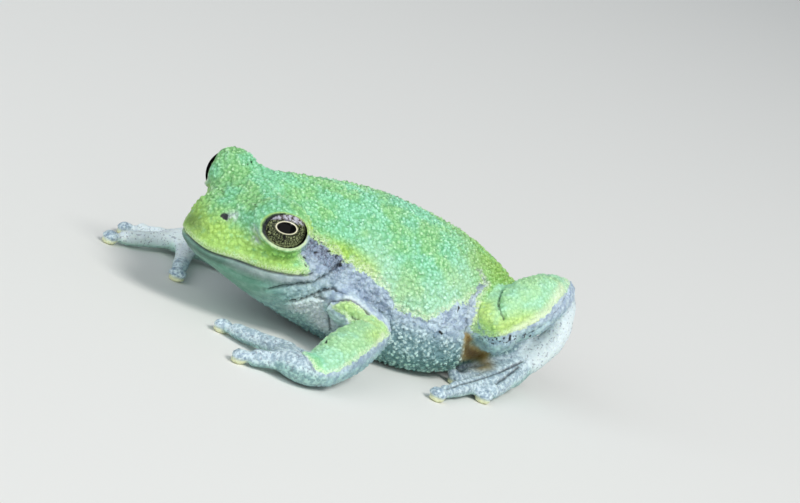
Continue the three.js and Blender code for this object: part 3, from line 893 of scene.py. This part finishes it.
class Graph:
    """Adds nodes to a node tree; each method returns the new node's output."""

    def __init__(self, tree):
        self.tree = tree

    def node(self, kind, inputs=None, **settings):
        """A node with its settings, and inputs that are given as values or as other nodes' outputs."""
        made = self.tree.nodes.new(kind)
        for name, value in settings.items():
            setattr(made, name, value)
        self.fill(made, inputs or {})
        return made

    def fill(self, made, inputs):
        """Feeds the named inputs of a node."""
        for name, value in inputs.items():
            self.feed(made.inputs[name], value)

    def feed(self, socket, value):
        """Links an output to the socket, or sets the socket's value."""
        if isinstance(value, bpy.types.NodeSocket):
            self.tree.links.new(value, socket)
        elif socket.type == "RGBA":
            socket.default_value = (*value, 1)
        else:
            socket.default_value = value

    def feed_in_order(self, made, values):
        """Feeds a node's first inputs."""
        for socket, value in zip(made.inputs, values):
            self.feed(socket, value)

    def math(self, operation, *values, clamp=False):
        """One step of arithmetic on numbers."""
        made = self.node("ShaderNodeMath", operation=operation, use_clamp=clamp)
        self.feed_in_order(made, values)
        return made.outputs[0]

    def times(self, value, *factors):
        """The value times each of the factors."""
        for factor in factors:
            value = self.math("MULTIPLY", value, factor)
        return value

    def line(self, value, slope, start):
        """The value times the slope, plus the start."""
        return self.math("MULTIPLY_ADD", value, slope, start)

    def vector(self, operation, *values):
        """One step of arithmetic on vectors."""
        made = self.node("ShaderNodeVectorMath", operation=operation)
        self.feed_in_order(made, values)
        return made.outputs["Value" if operation == "LENGTH" else "Vector"]

    def scaled(self, vector, scale):
        """The vector made longer by the scale."""
        inputs = {"Vector": vector, "Scale": scale}
        return self.node("ShaderNodeVectorMath", inputs, operation="SCALE").outputs[0]

    def step(self, value, low, high):
        """0 below low and 1 above high, smoothly; low may be the greater."""
        made = self.node("ShaderNodeMapRange", {"Value": value, "From Min": low, "From Max": high},
                         interpolation_type="SMOOTHSTEP")
        return made.outputs["Result"]

    def band(self, value, starts, full, fades, gone):
        """1 between full and fades, and 0 outside starts and gone."""
        return self.times(self.step(value, starts, full), self.step(value, gone, fades))

    def blend(self, share, first, second, mode="MIX"):
        """A colour that goes from first to second with share."""
        made = self.node("ShaderNodeMix", data_type="RGBA", blend_type=mode)
        for number, value in zip(COLOUR_INPUTS, (share, first, second)):
            self.feed(made.inputs[number], value)
        return made.outputs[2]

    def layered(self, colour, *layers):
        """The colour with layers over it, each given as its share and its colour."""
        for share, over in layers:
            colour = self.blend(share, colour, over)
        return colour

    def noise(self, vector, scale, detail=2.0, roughness=0.5):
        """Soft noise round one half."""
        inputs = {"Vector": vector, "Scale": scale, "Detail": detail, "Roughness": roughness}
        return self.node("ShaderNodeTexNoise", inputs).outputs[0]

    def blots(self, vector, scale, detail, low, high, roughness=0.5):
        """Blots where soft noise rises from low to high."""
        return self.step(self.noise(vector, scale, detail, roughness), low, high)

    def granules(self, vector, pitch):
        """Heights of rounded granules, 0 in the furrows and about 1 on the tops, over millimetres."""
        drift = self.node("ShaderNodeTexNoise", {"Vector": vector, "Scale": 1.3 / pitch, "Detail": 1.0})
        moved = self.vector("ADD", vector, self.scaled(drift.outputs[1], WOBBLE * pitch))
        cells = self.node("ShaderNodeTexVoronoi", {"Vector": moved, "Scale": 1 / pitch}, feature="F1")
        chance = self.node("ShaderNodeSeparateXYZ", {"Vector": cells.outputs["Color"]}).outputs["X"]
        return self.times(self.step(cells.outputs["Distance"], 0.82, 0.2), self.line(chance, 0.7, 0.55))

    def mask(self, name):
        """The named value that the skin carries at each point."""
        return self.node("ShaderNodeAttribute", attribute_name=name).outputs["Fac"]


# -------- skin: granules

GRANULES = {"back": 0.37, "under": 0.4}  # pitch of the granules, in millimetres
WOBBLE = 0.7  # how far the granules stray from an even spacing, as a part of their pitch


def granule_heights(clay):
    """The heights of each kind of granule at each point of the clay."""
    clay.store()
    piece = placed("granules", clay.mesh.copy())
    tree = bpy.data.node_groups.new("granules", "GeometryNodeTree")
    for in_out in ("INPUT", "OUTPUT"):
        tree.interface.new_socket("Geometry", in_out=in_out, socket_type="NodeSocketGeometry")
    graph = Graph(tree)
    geometry = graph.node("NodeGroupInput").outputs[0]
    position = graph.node("GeometryNodeInputPosition").outputs[0]
    for name, pitch in GRANULES.items():
        inputs = {"Name": name, "Geometry": geometry, "Value": graph.granules(position, pitch)}
        geometry = graph.node("GeometryNodeStoreNamedAttribute", inputs).outputs[0]
    graph.node("NodeGroupOutput", {"Geometry": geometry})
    modifier = piece.modifiers.new("granules", "NODES")
    modifier.node_group = tree
    mesh = finished(piece)
    heights = {name: np.empty(len(mesh.vertices), np.float32) for name in GRANULES}
    for name, values in heights.items():
        mesh.attributes[name].data.foreach_get("value", values)
    bpy.data.meshes.remove(mesh)
    bpy.data.node_groups.remove(tree)
    return heights


# -------- skin: its colours

# Granule tops and beds: partly the skin's own colours, partly painted highlight on the tops and painted
# shade in the furrows.
GREEN_TOP = (0.30, 0.84, 0.42)
# Partly the skin's own mint and partly a painted sheen of the sky.
MINT_TOP = (0.44, 0.95, 0.74)
MINT_BED = (0.11, 0.40, 0.15)
GREEN_BED = (0.08, 0.34, 0.06)
LEAF_TOP = (0.46, 0.80, 0.24)
YELLOW_TOP = (0.56, 0.88, 0.16)
YELLOW_BED = (0.20, 0.38, 0.03)
# Painted highlight on the tallest granules' tips.
TIP_HIGHLIGHT = (0.70, 0.96, 0.72)
EDGE_PALE = (0.80, 0.92, 0.66)
SIDE_PALE = (0.58, 0.72, 0.82)
SIDE_GREY = (0.34, 0.44, 0.58)
SIDE_DARK = (0.14, 0.15, 0.22)
# The throat's own blue-green, made darker as painted shade under the jaw.
THROAT = (0.21, 0.42, 0.34)
BELLY_TOP = (0.66, 0.86, 0.86)
BELLY_BED = (0.18, 0.32, 0.36)
HAND_PALE = (0.66, 0.80, 0.85)
HAND_GREY = (0.32, 0.44, 0.52)
DISC_GREY = (0.24, 0.34, 0.44)
RIM_CREAM = (0.80, 0.80, 0.48)
LID_CREAM = (0.62, 0.78, 0.46)
LID_GOLD = (0.42, 0.60, 0.14)
# The lower lid's fold: its own yellow-green, darkened as painted shade in the furrow.
LID_FOLD_SHADE = (0.22, 0.42, 0.05)
GROIN_AMBER = (0.34, 0.24, 0.04)
# Painted shade deep in the groin's hollow, over its own amber.
GROIN_SHADE = (0.13, 0.07, 0.01)
# Painted shade, with a green cast of bounced light, multiplied into the skin that faces down.
UNDERSIDE_SHADE = (0.66, 0.86, 0.74)
WHITISH = (0.80, 0.90, 0.92)
LILAC = (0.42, 0.42, 0.54)
BLACK = (0.010, 0.014, 0.018)
SCATTER = 0.12
SCATTER_RADIUS = (0.0006, 0.0005, 0.0003)
GRAIN_HEIGHT = 0.00012  # metres that the finest grain seems to stand out


def new_material(name):
    """A material, the graph that adds to its nodes, and its shader."""
    material = bpy.data.materials.new(name)
    material.use_nodes = True
    return material, Graph(material.node_tree), material.node_tree.nodes["Principled BSDF"]


def lit_grain(graph, tops, fine):
    """How light each spot of the green is: lighter on the granules' tops and darker in their furrows, partly
    the skin's own colour and partly painted highlight and shade of the relief; less uneven where the
    granules are low.
    """
    calm = graph.line(graph.mask("coarse"), 0.65, 0.35)
    even = graph.line(graph.math("SUBTRACT", tops, 0.5), calm, 0.5)
    grain = graph.line(calm, -0.8, 1.3)
    lit = graph.line(fine, grain, graph.times(even, 0.75))
    return graph.math("SUBTRACT", lit, graph.line(grain, 0.5, -0.25), clamp=True)


def green_colour(graph, place, lit, settings):
    """Mint granules over deeper green, turning leaf green in patches and yellow with gold; the tops carry
    painted highlight, the furrows painted shade, and the mint is partly a painted sheen.
    """
    mint = graph.mask("mint")
    top = graph.blend(mint, settings.green, settings.mint)
    top = graph.blend(graph.times(graph.blots(place, 0.32, 2.0, 0.42, 0.62), 0.6), top, LEAF_TOP)
    plain = graph.blend(lit, graph.blend(mint, GREEN_BED, MINT_BED), top)
    # Painted highlight on the tallest granules' tips.
    plain = graph.blend(graph.step(lit, 0.7, 1.5), plain, TIP_HIGHLIGHT)
    yellow = graph.blend(lit, YELLOW_BED, settings.yellow)
    share = graph.math("MULTIPLY", graph.mask("gold"), graph.blots(place, 1.4, 3.0, 0.1, 0.5), clamp=True)
    return graph.blend(share, plain, yellow)


def side_colour(graph, place, settings):
    """Grey skin of the sides, hands and underside."""
    cloud = graph.noise(place, 1.1, 4.0, 0.6)
    grey = graph.blend(graph.step(cloud, 0.38, 0.62), SIDE_GREY, settings.side)
    dark = graph.blend(graph.blots(place, 5.0, 3.0, 0.36, 0.58, 0.6), SIDE_DARK, SIDE_GREY)
    throat = graph.blend(graph.times(graph.step(cloud, 0.4, 0.75), 0.35), THROAT, WHITISH)
    tops = graph.granules(place, GRANULES["under"])
    belly = graph.blend(graph.step(tops, 0.35, 0.95), BELLY_BED, BELLY_TOP)
    hand = graph.blend(graph.blots(place, 2.6, 4.0, 0.4, 0.62, 0.65), HAND_GREY, HAND_PALE)
    hands = graph.mask("hands")
    freckles = graph.times(hands, 0.55, graph.blots(place, 3.8, 3.0, 0.57, 0.66))
    return graph.layered(
        grey,
        (graph.mask("band"), dark),
        (graph.mask("throat"), throat),
        (graph.mask("belly"), belly),
        (hands, hand),
        (graph.mask("pale"), WHITISH),
        (freckles, SIDE_DARK),
    )


def green_over_side(graph, place, fine, green, side):
    """The green with its ragged, pale edge, laid over the grey."""
    broad = graph.math("SUBTRACT", graph.noise(place, 1.3, 4.0, 0.65), 0.5)
    inside = graph.math("ADD", graph.mask("green"), graph.times(broad, 2.2, graph.mask("ragged")))
    rim = graph.times(graph.step(inside, 1.0, 0.15), graph.step(fine, 0.35, 0.6), 0.8)
    green = graph.layered(green, (rim, EDGE_PALE), (graph.mask("milky"), EDGE_PALE))
    return graph.blend(graph.step(inside, -0.1, 0.12), side, green)


def with_spots(graph, place, colour):
    """The colour with grey discs and their rims, pale patches, the amber groin with painted shade deep in
    its hollow, and black specks.
    """
    disc = graph.blend(graph.blots(place, 3.2, 3.0, 0.35, 0.65), DISC_GREY, HAND_PALE)
    streaks = graph.blots(graph.vector("MULTIPLY", place, (2.5, 1.0, 1.0)), 2.0, 3.0, 0.3, 0.5)
    lilac = graph.blend(graph.blots(place, 3.0, 2.0, 0.45, 0.55), LILAC, WHITISH)
    groin = graph.mask("groin")
    # Amber, turning brown as painted shade deep in the hollow.
    amber = graph.blend(graph.step(groin, 0.55, 1.0), GROIN_AMBER, GROIN_SHADE)
    return graph.layered(
        colour,
        (graph.mask("disc"), disc),
        (graph.times(graph.mask("rim"), 0.85), RIM_CREAM),
        (graph.times(graph.mask("patch"), streaks), lilac),
        (graph.step(groin, 0.0, 0.9), amber),
        (graph.times(graph.mask("specks"), graph.blots(place, 3.6, 2.0, 0.56, 0.62)), BLACK),
    )


def with_lids(graph, colour):
    """The colour with a cream lower lid over a fold darkened with painted shade, a golden upper lid, and
    black as painted shade where the skin turns in under the lids' margin.
    """
    lid = graph.mask("lid")
    lower = graph.step(graph.mask("under"), 0.05, 0.35)
    upper = graph.math("SUBTRACT", 1.0, lower)
    return graph.layered(
        colour,
        # Painted shade in the lower lid's furrow.
        (graph.times(lower, graph.band(lid, 1.18, 1.28, 1.34, 1.46), 0.6), LID_FOLD_SHADE),
        (graph.times(lower, graph.step(lid, 1.15, 1.07), 0.85), LID_CREAM),
        (graph.times(upper, graph.step(lid, 1.08, 1.04), 0.6), LID_GOLD),
        # Black as painted shade where the skin turns in under the lids' margin.
        (graph.step(lid, 1.03, 0.99), BLACK),
    )


def with_black(graph, colour):
    """The colour with black as painted shade in the folds and the nostrils, and with the black marks."""
    return graph.layered(
        colour,
        # Painted shade in the folds' grooves.
        (graph.times(graph.step(graph.mask("seam"), 0.45, 1.0), 0.85), BLACK),
        (graph.step(graph.mask("marks"), 0.62, 0.8), BLACK),
        # Painted shade inside the nostrils.
        (graph.step(graph.mask("nostril"), 0.3, 0.55), BLACK),
    )


def skin_material(settings):
    """Granular skin: green above, grey and white below, with painted shade in the folds and rimmed discs."""
    material, graph, shader = new_material("skin")
    seen = graph.node("ShaderNodeTexCoord").outputs["Object"]
    place = graph.scaled(graph.vector("SUBTRACT", seen, tuple(ORIGIN)), 1 / MM)
    tops = graph.granules(place, GRANULES["back"])
    fine = graph.noise(place, 7.0, 3.0, 0.6)
    green = green_colour(graph, place, lit_grain(graph, tops, fine), settings)
    colour = green_over_side(graph, place, fine, green, side_colour(graph, place, settings))
    # Painted shade on the skin that faces down.
    colour = graph.blend(graph.mask("below"), colour, UNDERSIDE_SHADE, "MULTIPLY")
    colour = with_spots(graph, place, colour)
    # Painted shade at the snout's tip and under the lip, and a little over the head and the rump.
    colour = graph.blend(1.0, colour, graph.mask("tone"), "MULTIPLY")
    relief = graph.line(fine, 0.6, graph.times(tops, graph.mask("coarse")))
    bump = {"Height": relief, "Strength": settings.relief, "Distance": GRAIN_HEIGHT}
    graph.fill(shader, {
        "Base Color": with_black(graph, with_lids(graph, colour)),
        "Roughness": graph.line(fine, 0.3, 0.22),
        "Subsurface Weight": SCATTER,
        "Subsurface Radius": SCATTER_RADIUS,
        "Subsurface Scale": 1.0,
        "Normal": graph.node("ShaderNodeBump", bump).outputs["Normal"],
    })
    return material


# -------- skin: the piece

HOLLOW_REACH = 6.3  # how far round an eye's centre the hollows are filled
HOLLOW_ROUNDS = 350
LID_REACH = 4.5  # how far from an eye's centre the lids' colours and folds reach
# Ridges and furrows round the lower lid, as (place round the lids, width, height).
LID_RELIEF = [(1.1, 0.06, 0.05), (1.36, 0.08, -0.14), (1.58, 0.1, 0.08)]


def lid_masks(clay, eyes, reach):
    """Each point's place round its eye's lids, and how far under the middle of the eye it is."""
    place = np.full(len(clay.points), 4.0)
    under = np.zeros(len(clay.points))
    for eye in eyes:
        seen, distance = eye.seen(clay.points)
        near = distance < reach
        place[near] = np.minimum(eye.lid_place(seen[near]), place[near])
        under[near] = -seen[near, 1]
    return place, under


def raise_lids(clay, place, under):
    """Raises the lower lid's ridges and sinks the furrow between them."""
    height = sum(rise * bell(place - ridge, width) for ridge, width, rise in LID_RELIEF)
    clay.lift(ramp(under, 0.0, 0.35) * height)


def raise_granules(clay, masks, eyes, height):
    """Raises the granules, but leaves the lids' margins smooth."""
    heights = granule_heights(clay)
    belly = masks["belly"]
    rise = (heights["back"] - 0.5) * (1 - belly) + (heights["under"] - 0.5) * belly
    off_eyes = ramp(lid_masks(clay, eyes, EYE_ZONE)[0], 1.2, 1.6)
    clay.lift(rise * masks["coarse"] * height / MM * off_eyes)


def sculpt_skin(settings):
    """The skin's mesh, with a named value at each point for each mask of its colours."""
    clay, part = smooth_form()
    eyes = [Eye(side) for side in SIDES]
    for eye in eyes:
        clay.fill_hollows(eye.centre, HOLLOW_REACH, HOLLOW_ROUNDS)
    shape_swells(clay)
    for eye in eyes:
        open_lids(clay, eye)
    tree = tree_of(clay)
    masks = paint(clay, part)
    masks["lid"], masks["under"] = lid_masks(clay, eyes, LID_REACH)
    raise_lids(clay, masks["lid"], masks["under"])
    masks["seam"] = press_folds(clay, tree)
    masks["nostril"] = open_nostrils(clay, tree)
    masks["disc"], masks["rim"] = shape_digits(clay, part)
    raise_granules(clay, masks, eyes, settings.granules)
    clay.points[:, 2] = np.maximum(clay.points[:, 2], 0)
    clay.store()
    for name, values in masks.items():
        told = clay.mesh.attributes.new(name, "FLOAT", "POINT")
        told.data.foreach_set("value", np.ascontiguousarray(values, np.float32))
    return clay.mesh


def thinned(mesh, triangles):
    """The mesh with about so many triangles."""
    piece = placed("thick", mesh)
    thin = piece.modifiers.new("Decimate", "DECIMATE")
    thin.ratio = triangles / (2 * len(mesh.polygons))
    thin.use_collapse_triangulate = True
    return finished(piece)


def build_skin(settings):
    """The whole skin as one piece."""
    mesh = thinned(sculpt_skin(settings), settings.triangles)
    mesh.transform(FROG_TO_FRAME)
    mesh.name = "skin"
    mesh.shade_smooth()
    mesh.materials.append(skin_material(settings))
    skin = placed("skin", mesh)
    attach(skin, "root")
    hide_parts(*[name for name in sorted(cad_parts) if not name.startswith("eye")])


# -------- eyes

UV_REACH = 2 * pi  # the gaze map is flat, with angles from the middle of the look
PUPIL_PLACE = (0.05, 0.05)
PUPIL_SIZE = (0.375, 0.21)
NOTCH_PLACE = (0.02, -0.3)
NOTCH_SIZE = (0.06, 0.09)
IRIS_PLACE = (0.03, -0.03)
IRIS_SIZE = (1.06, 0.79)
IRIS_BRONZE = (0.040, 0.054, 0.020)
IRIS_GOLD = (0.33, 0.37, 0.18)
# Partly the iris's own silver and partly a painted reflection of the sky.
IRIS_SILVER = (0.46, 0.46, 0.54)
IRIS_BROWN = (0.06, 0.042, 0.036)
IRIS_NET = (0.008, 0.008, 0.007)
PUPIL_RIM = (0.74, 0.70, 0.52)
PUPIL_BLACK = (0.001, 0.001, 0.001)


def ellipse(graph, point, place, size):
    """0 at the middle of an ellipse and 1 at its edge."""
    shifted = graph.vector("SUBTRACT", point, (*place, 0))
    return graph.vector("LENGTH", graph.vector("DIVIDE", shifted, (*size, 1)))


def iris_colour(graph, point, settings):
    """Bronze and gold netted with black, and silver streaked with brown above; the silver is partly a
    painted reflection of the sky.
    """
    drift = graph.node("ShaderNodeTexNoise", {"Vector": point, "Scale": 5.0, "Detail": 2.0})
    moved = graph.vector("ADD", point, graph.scaled(drift.outputs[1], 0.2))
    cells = graph.node("ShaderNodeTexVoronoi", {"Vector": moved, "Scale": 10.5}, feature="DISTANCE_TO_EDGE")
    net = graph.step(cells.outputs["Distance"], 0.17, 0.06)
    warm = graph.blend(graph.blots(moved, 26.0, 3.0, 0.4, 0.62, 0.6), IRIS_BRONZE, settings.gold)
    warm = graph.blend(net, warm, IRIS_NET)
    cool = graph.blend(graph.blots(point, 7.0, 3.0, 0.45, 0.58, 0.7), settings.silver, IRIS_BROWN)
    up = graph.node("ShaderNodeSeparateXYZ", {"Vector": point}).outputs["Y"]
    upper = graph.step(graph.line(drift.outputs[0], 0.3, up), 0.38, 0.52)
    return graph.blend(upper, warm, cool)


def with_rings(graph, point, reach, colour, settings):
    """The iris's colour with its gold ring and dark margin, and the notched, rimmed pupil."""
    pupil = ellipse(graph, point, PUPIL_PLACE, PUPIL_SIZE)
    notch = ellipse(graph, point, NOTCH_PLACE, NOTCH_SIZE)
    return graph.layered(
        colour,
        (graph.times(graph.band(reach, 0.78, 0.82, 0.83, 0.87), 0.6), settings.gold),
        (graph.step(reach, 0.9, 0.97), IRIS_NET),
        (graph.times(graph.band(pupil, 1.22, 1.34, 1.44, 1.56), 0.7), IRIS_NET),
        (graph.step(notch, 1.2, 0.7), IRIS_NET),
        (graph.step(pupil, 1.19, 1.12), settings.rim),
        (graph.step(pupil, 1.04, 0.98), PUPIL_BLACK),
    )


def eye_material(settings):
    """A bronze and silver iris netted with black, round a level pupil with a gold rim."""
    material, graph, shader = new_material("eye")
    uv = graph.node("ShaderNodeUVMap", uv_map="gaze").outputs["UV"]
    point = graph.scaled(graph.vector("SUBTRACT", uv, (0.5, 0.5, 0)), UV_REACH)
    reach = ellipse(graph, point, IRIS_PLACE, IRIS_SIZE)
    colour = with_rings(graph, point, reach, iris_colour(graph, point, settings), settings)
    aside = graph.node("ShaderNodeLayerWeight", {"Blend": 0.5}).outputs["Facing"]
    graph.fill(shader, {
        # Painted shade: the ball turns black towards its edge as seen.
        "Base Color": graph.blend(graph.step(aside, 0.28, 0.5), colour, PUPIL_BLACK),
        "Roughness": 0.3,
        "Specular IOR Level": 0.0,
        "Coat Weight": graph.times(graph.step(reach, 0.9, 0.5), graph.step(aside, 0.7, 0.3), 0.55),
        "Coat Roughness": 0.03,
        "Coat IOR": 1.34,
    })
    return material


def build_eye(side, material):
    """One eyeball, mapped flat along the way it looks."""
    eye = Eye(side)
    ball = bmesh.new()
    round_it, along_it = EYE_SEGMENTS
    bmesh.ops.create_uvsphere(ball, u_segments=round_it, v_segments=along_it, radius=EYE_RADIUS)
    turned = Matrix((eye.back, eye.up, eye.out)).transposed().to_4x4()
    gaze = ball.loops.layers.uv.new("gaze")
    for face in ball.faces:
        face.smooth = True
        for loop in face.loops:
            level = Vector(loop.vert.co.xy)
            if level.length > 0:
                level *= atan2(level.length, loop.vert.co.z) / level.length
            loop[gaze].uv = (0.5 + level.x / UV_REACH, 0.5 + level.y / UV_REACH)
    place = FROG_TO_FRAME @ Matrix.Translation(eye.centre) @ turned
    bmesh.ops.transform(ball, matrix=place, verts=ball.verts)
    if turned.determinant() < 0:
        bmesh.ops.reverse_faces(ball, faces=ball.faces)
    mesh = bpy.data.meshes.new("eyeball_" + side)
    ball.to_mesh(mesh)
    ball.free()
    mesh.materials.append(material)
    piece = placed("eyeball_" + side, mesh)
    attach(piece, "root")
    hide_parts("eye_" + side)


# -------- stage

FLOOR_SIZE = 3.0
FLOOR_PALE = (0.80, 0.80, 0.78)
SKY_BLUE = (0.86, 0.93, 1)
CAMERA_TURN = radians(50)  # from straight ahead of the frog, towards its left
CAMERA_HEIGHT = radians(13)
CAMERA_ROLL = radians(21.3)
CAMERA_DISTANCE = 0.26
CAMERA_LENS = 119.34
SENSOR_WIDTH = 36
CAMERA_AIM = (0, 21, 7)
CAMERA_SHIFT = (4.56, 1.13)
# Soft lamps that face the frog: each one's place and width in metres, and its colour.
LAMPS = {
    "key": ((0.80, 0.10, 1.00), 0.45, (1, 0.985, 0.95)),
    "fill": ((0.10, -1.0, 0.55), 1.0, (0.92, 0.96, 1)),
    "bounce": ((0.95, -0.55, 0.3), 1.0, (1, 0.98, 0.94)),
}


def camera_directions():
    """The view's directions right, up and back towards the camera, as vectors."""
    level = Vector((cos(CAMERA_TURN), sin(CAMERA_TURN), 0))
    ahead = Vector((-sin(CAMERA_TURN), cos(CAMERA_TURN), 0))
    back = sin(CAMERA_HEIGHT) * Vector((0, 0, 1)) - cos(CAMERA_HEIGHT) * ahead
    above = back.cross(level)
    right = cos(CAMERA_ROLL) * level + sin(CAMERA_ROLL) * above
    up = cos(CAMERA_ROLL) * above - sin(CAMERA_ROLL) * level
    return right, up, back


def add_camera():
    """The camera, low at the frog's left and leaning to one side."""
    right, up, back = camera_directions()
    data = bpy.data.cameras.new("camera")
    data.lens = CAMERA_LENS
    data.sensor_width = SENSOR_WIDTH
    data.clip_start = 0.01
    data.clip_end = 20
    camera = placed("camera", data)
    aim = Vector(CAMERA_AIM) + right * CAMERA_SHIFT[0] + up * CAMERA_SHIFT[1]
    turned = Matrix((right, up, back)).transposed().to_4x4()
    camera.matrix_world = Matrix.Translation(FROG_TO_FRAME @ aim + back * CAMERA_DISTANCE) @ turned
    bpy.context.scene.camera = camera


def add_lamp(name, energy):
    """One of the lamps, at the given power."""
    place, size, colour = LAMPS[name]
    data = bpy.data.lights.new(name, "AREA")
    data.shape = "SQUARE"
    data.size = size
    data.energy = energy
    data.color = colour
    turned = Vector(place).to_track_quat("Z", "Y").to_matrix().to_4x4()
    placed(name, data).matrix_world = Matrix.Translation(place) @ turned


def add_floor(colour):
    """A plain pale floor."""
    sheet = bmesh.new()
    bmesh.ops.create_grid(sheet, x_segments=1, y_segments=1, size=FLOOR_SIZE / 2)
    mesh = bpy.data.meshes.new("floor")
    sheet.to_mesh(mesh)
    sheet.free()
    material, graph, shader = new_material("floor")
    graph.fill(shader, {"Base Color": colour, "Roughness": 0.8})
    mesh.materials.append(material)
    placed("floor", mesh)


def add_sky(strength):
    """Even light from all round."""
    world = bpy.data.worlds.new("studio")
    world.use_nodes = True
    background = world.node_tree.nodes["Background"]
    Graph(world.node_tree).fill(background, {"Color": SKY_BLUE, "Strength": strength})
    bpy.context.scene.world = world


# -------- add-on


def number_setting(name, description, default, **limits):
    """A number that a user can change."""
    return FloatProperty(name=name, description=description, default=default, min=0, **limits)


def colour_setting(name, description, default):
    """A colour that a user can change."""
    return FloatVectorProperty(name=name, description=description, default=default, min=0, subtype="COLOR")


class SkinSettings(bpy.types.PropertyGroup):
    """How the skin is made."""

    granules: number_setting("Granules", "Height of the skin's granules", 0.0003, unit="LENGTH", precision=6)
    relief: number_setting("Relief", "Strength of the finest grain", 1.0, max=1)
    triangles: IntProperty(
        name="Triangles", description="About how many triangles the skin has", default=TRIANGLES, min=1000
    )
    green: colour_setting("Green", "Tops of the granules on the head", GREEN_TOP)
    # Partly the skin's own mint and partly a painted sheen of the sky.
    mint: colour_setting("Mint", "Tops of the granules on the back and limbs", MINT_TOP)
    yellow: colour_setting("Yellow", "Tops of the granules on the lips, cheeks and limbs' lines", YELLOW_TOP)
    side: colour_setting("Side", "Pale parts of the grey sides", SIDE_PALE)


class EyeSettings(bpy.types.PropertyGroup):
    """How the eyes look."""

    gold: colour_setting("Gold", "Gold of the iris and of its ring", IRIS_GOLD)
    # Partly the iris's own silver and partly a painted reflection of the sky.
    silver: colour_setting("Silver", "Silver of the iris above the pupil", IRIS_SILVER)
    rim: colour_setting("Rim", "Thin rim of the pupil", PUPIL_RIM)


class StageSettings(bpy.types.PropertyGroup):
    """The studio's floor and lights."""

    floor: colour_setting("Floor", "Colour of the floor", FLOOR_PALE)
    key: number_setting("Key", "Power of the lamp overhead", 11.0, unit="POWER")
    fill: number_setting("Fill", "Power of the lamp in front", 4.7, unit="POWER")
    bounce: number_setting("Bounce", "Power of the low lamp at the side", 3.0, unit="POWER")
    sky: number_setting("Sky", "Strength of the light from all round", 0.34)


class TREEFROG_OT_skin(bpy.types.Operator):
    """Make the skin"""

    bl_idname = "treefrog.skin"
    bl_label = "Skin"

    def execute(self, context):
        """Make the skin from its settings."""
        build_skin(context.scene.treefrog_skin)
        return {"FINISHED"}


class TREEFROG_OT_eyes(bpy.types.Operator):
    """Make the two eyes"""

    bl_idname = "treefrog.eyes"
    bl_label = "Eyes"

    def execute(self, context):
        """Make both eyes with one material."""
        material = eye_material(context.scene.treefrog_eyes)
        for side in SIDES:
            build_eye(side, material)
        return {"FINISHED"}


class TREEFROG_OT_stage(bpy.types.Operator):
    """Make the floor, the lights and the camera"""

    bl_idname = "treefrog.stage"
    bl_label = "Stage"

    def execute(self, context):
        """Make the studio from its settings."""
        settings = context.scene.treefrog_stage
        add_floor(settings.floor)
        for name in LAMPS:
            add_lamp(name, getattr(settings, name))
        add_sky(settings.sky)
        add_camera()
        context.scene.view_settings.view_transform = "Standard"
        return {"FINISHED"}


class TREEFROG_PT_panel(bpy.types.Panel):
    """Makes the tree frog piece by piece"""

    bl_idname = "TREEFROG_PT_panel"
    bl_label = "Tree Frog"
    bl_space_type = "VIEW_3D"
    bl_region_type = "UI"
    bl_category = "Tree Frog"

    def draw(self, context):
        """Lists the operators and every setting."""
        layout = self.layout
        for operator in OPERATORS:
            layout.operator(operator.bl_idname)
        for place, kind in SETTINGS.items():
            for name in kind.__annotations__:
                layout.prop(getattr(context.scene, place), name)


OPERATORS = (TREEFROG_OT_skin, TREEFROG_OT_eyes, TREEFROG_OT_stage)
# Where the scene keeps each group of settings.
SETTINGS = {"treefrog_skin": SkinSettings, "treefrog_eyes": EyeSettings, "treefrog_stage": StageSettings}
CLASSES = (*SETTINGS.values(), *OPERATORS, TREEFROG_PT_panel)


def register():
    """Adds the settings, the operators and the panel to Blender."""
    for made in CLASSES:
        bpy.utils.register_class(made)
    for place, kind in SETTINGS.items():
        setattr(bpy.types.Scene, place, PointerProperty(type=kind))


def unregister():
    """Takes them away again."""
    for place in SETTINGS:
        delattr(bpy.types.Scene, place)
    for made in reversed(CLASSES):
        bpy.utils.unregister_class(made)


def main():
    """Makes the frog and its studio."""
    register()
    bpy.ops.treefrog.skin()
    bpy.ops.treefrog.eyes()
    bpy.ops.treefrog.stage()


if __name__ == "__main__":
    main()
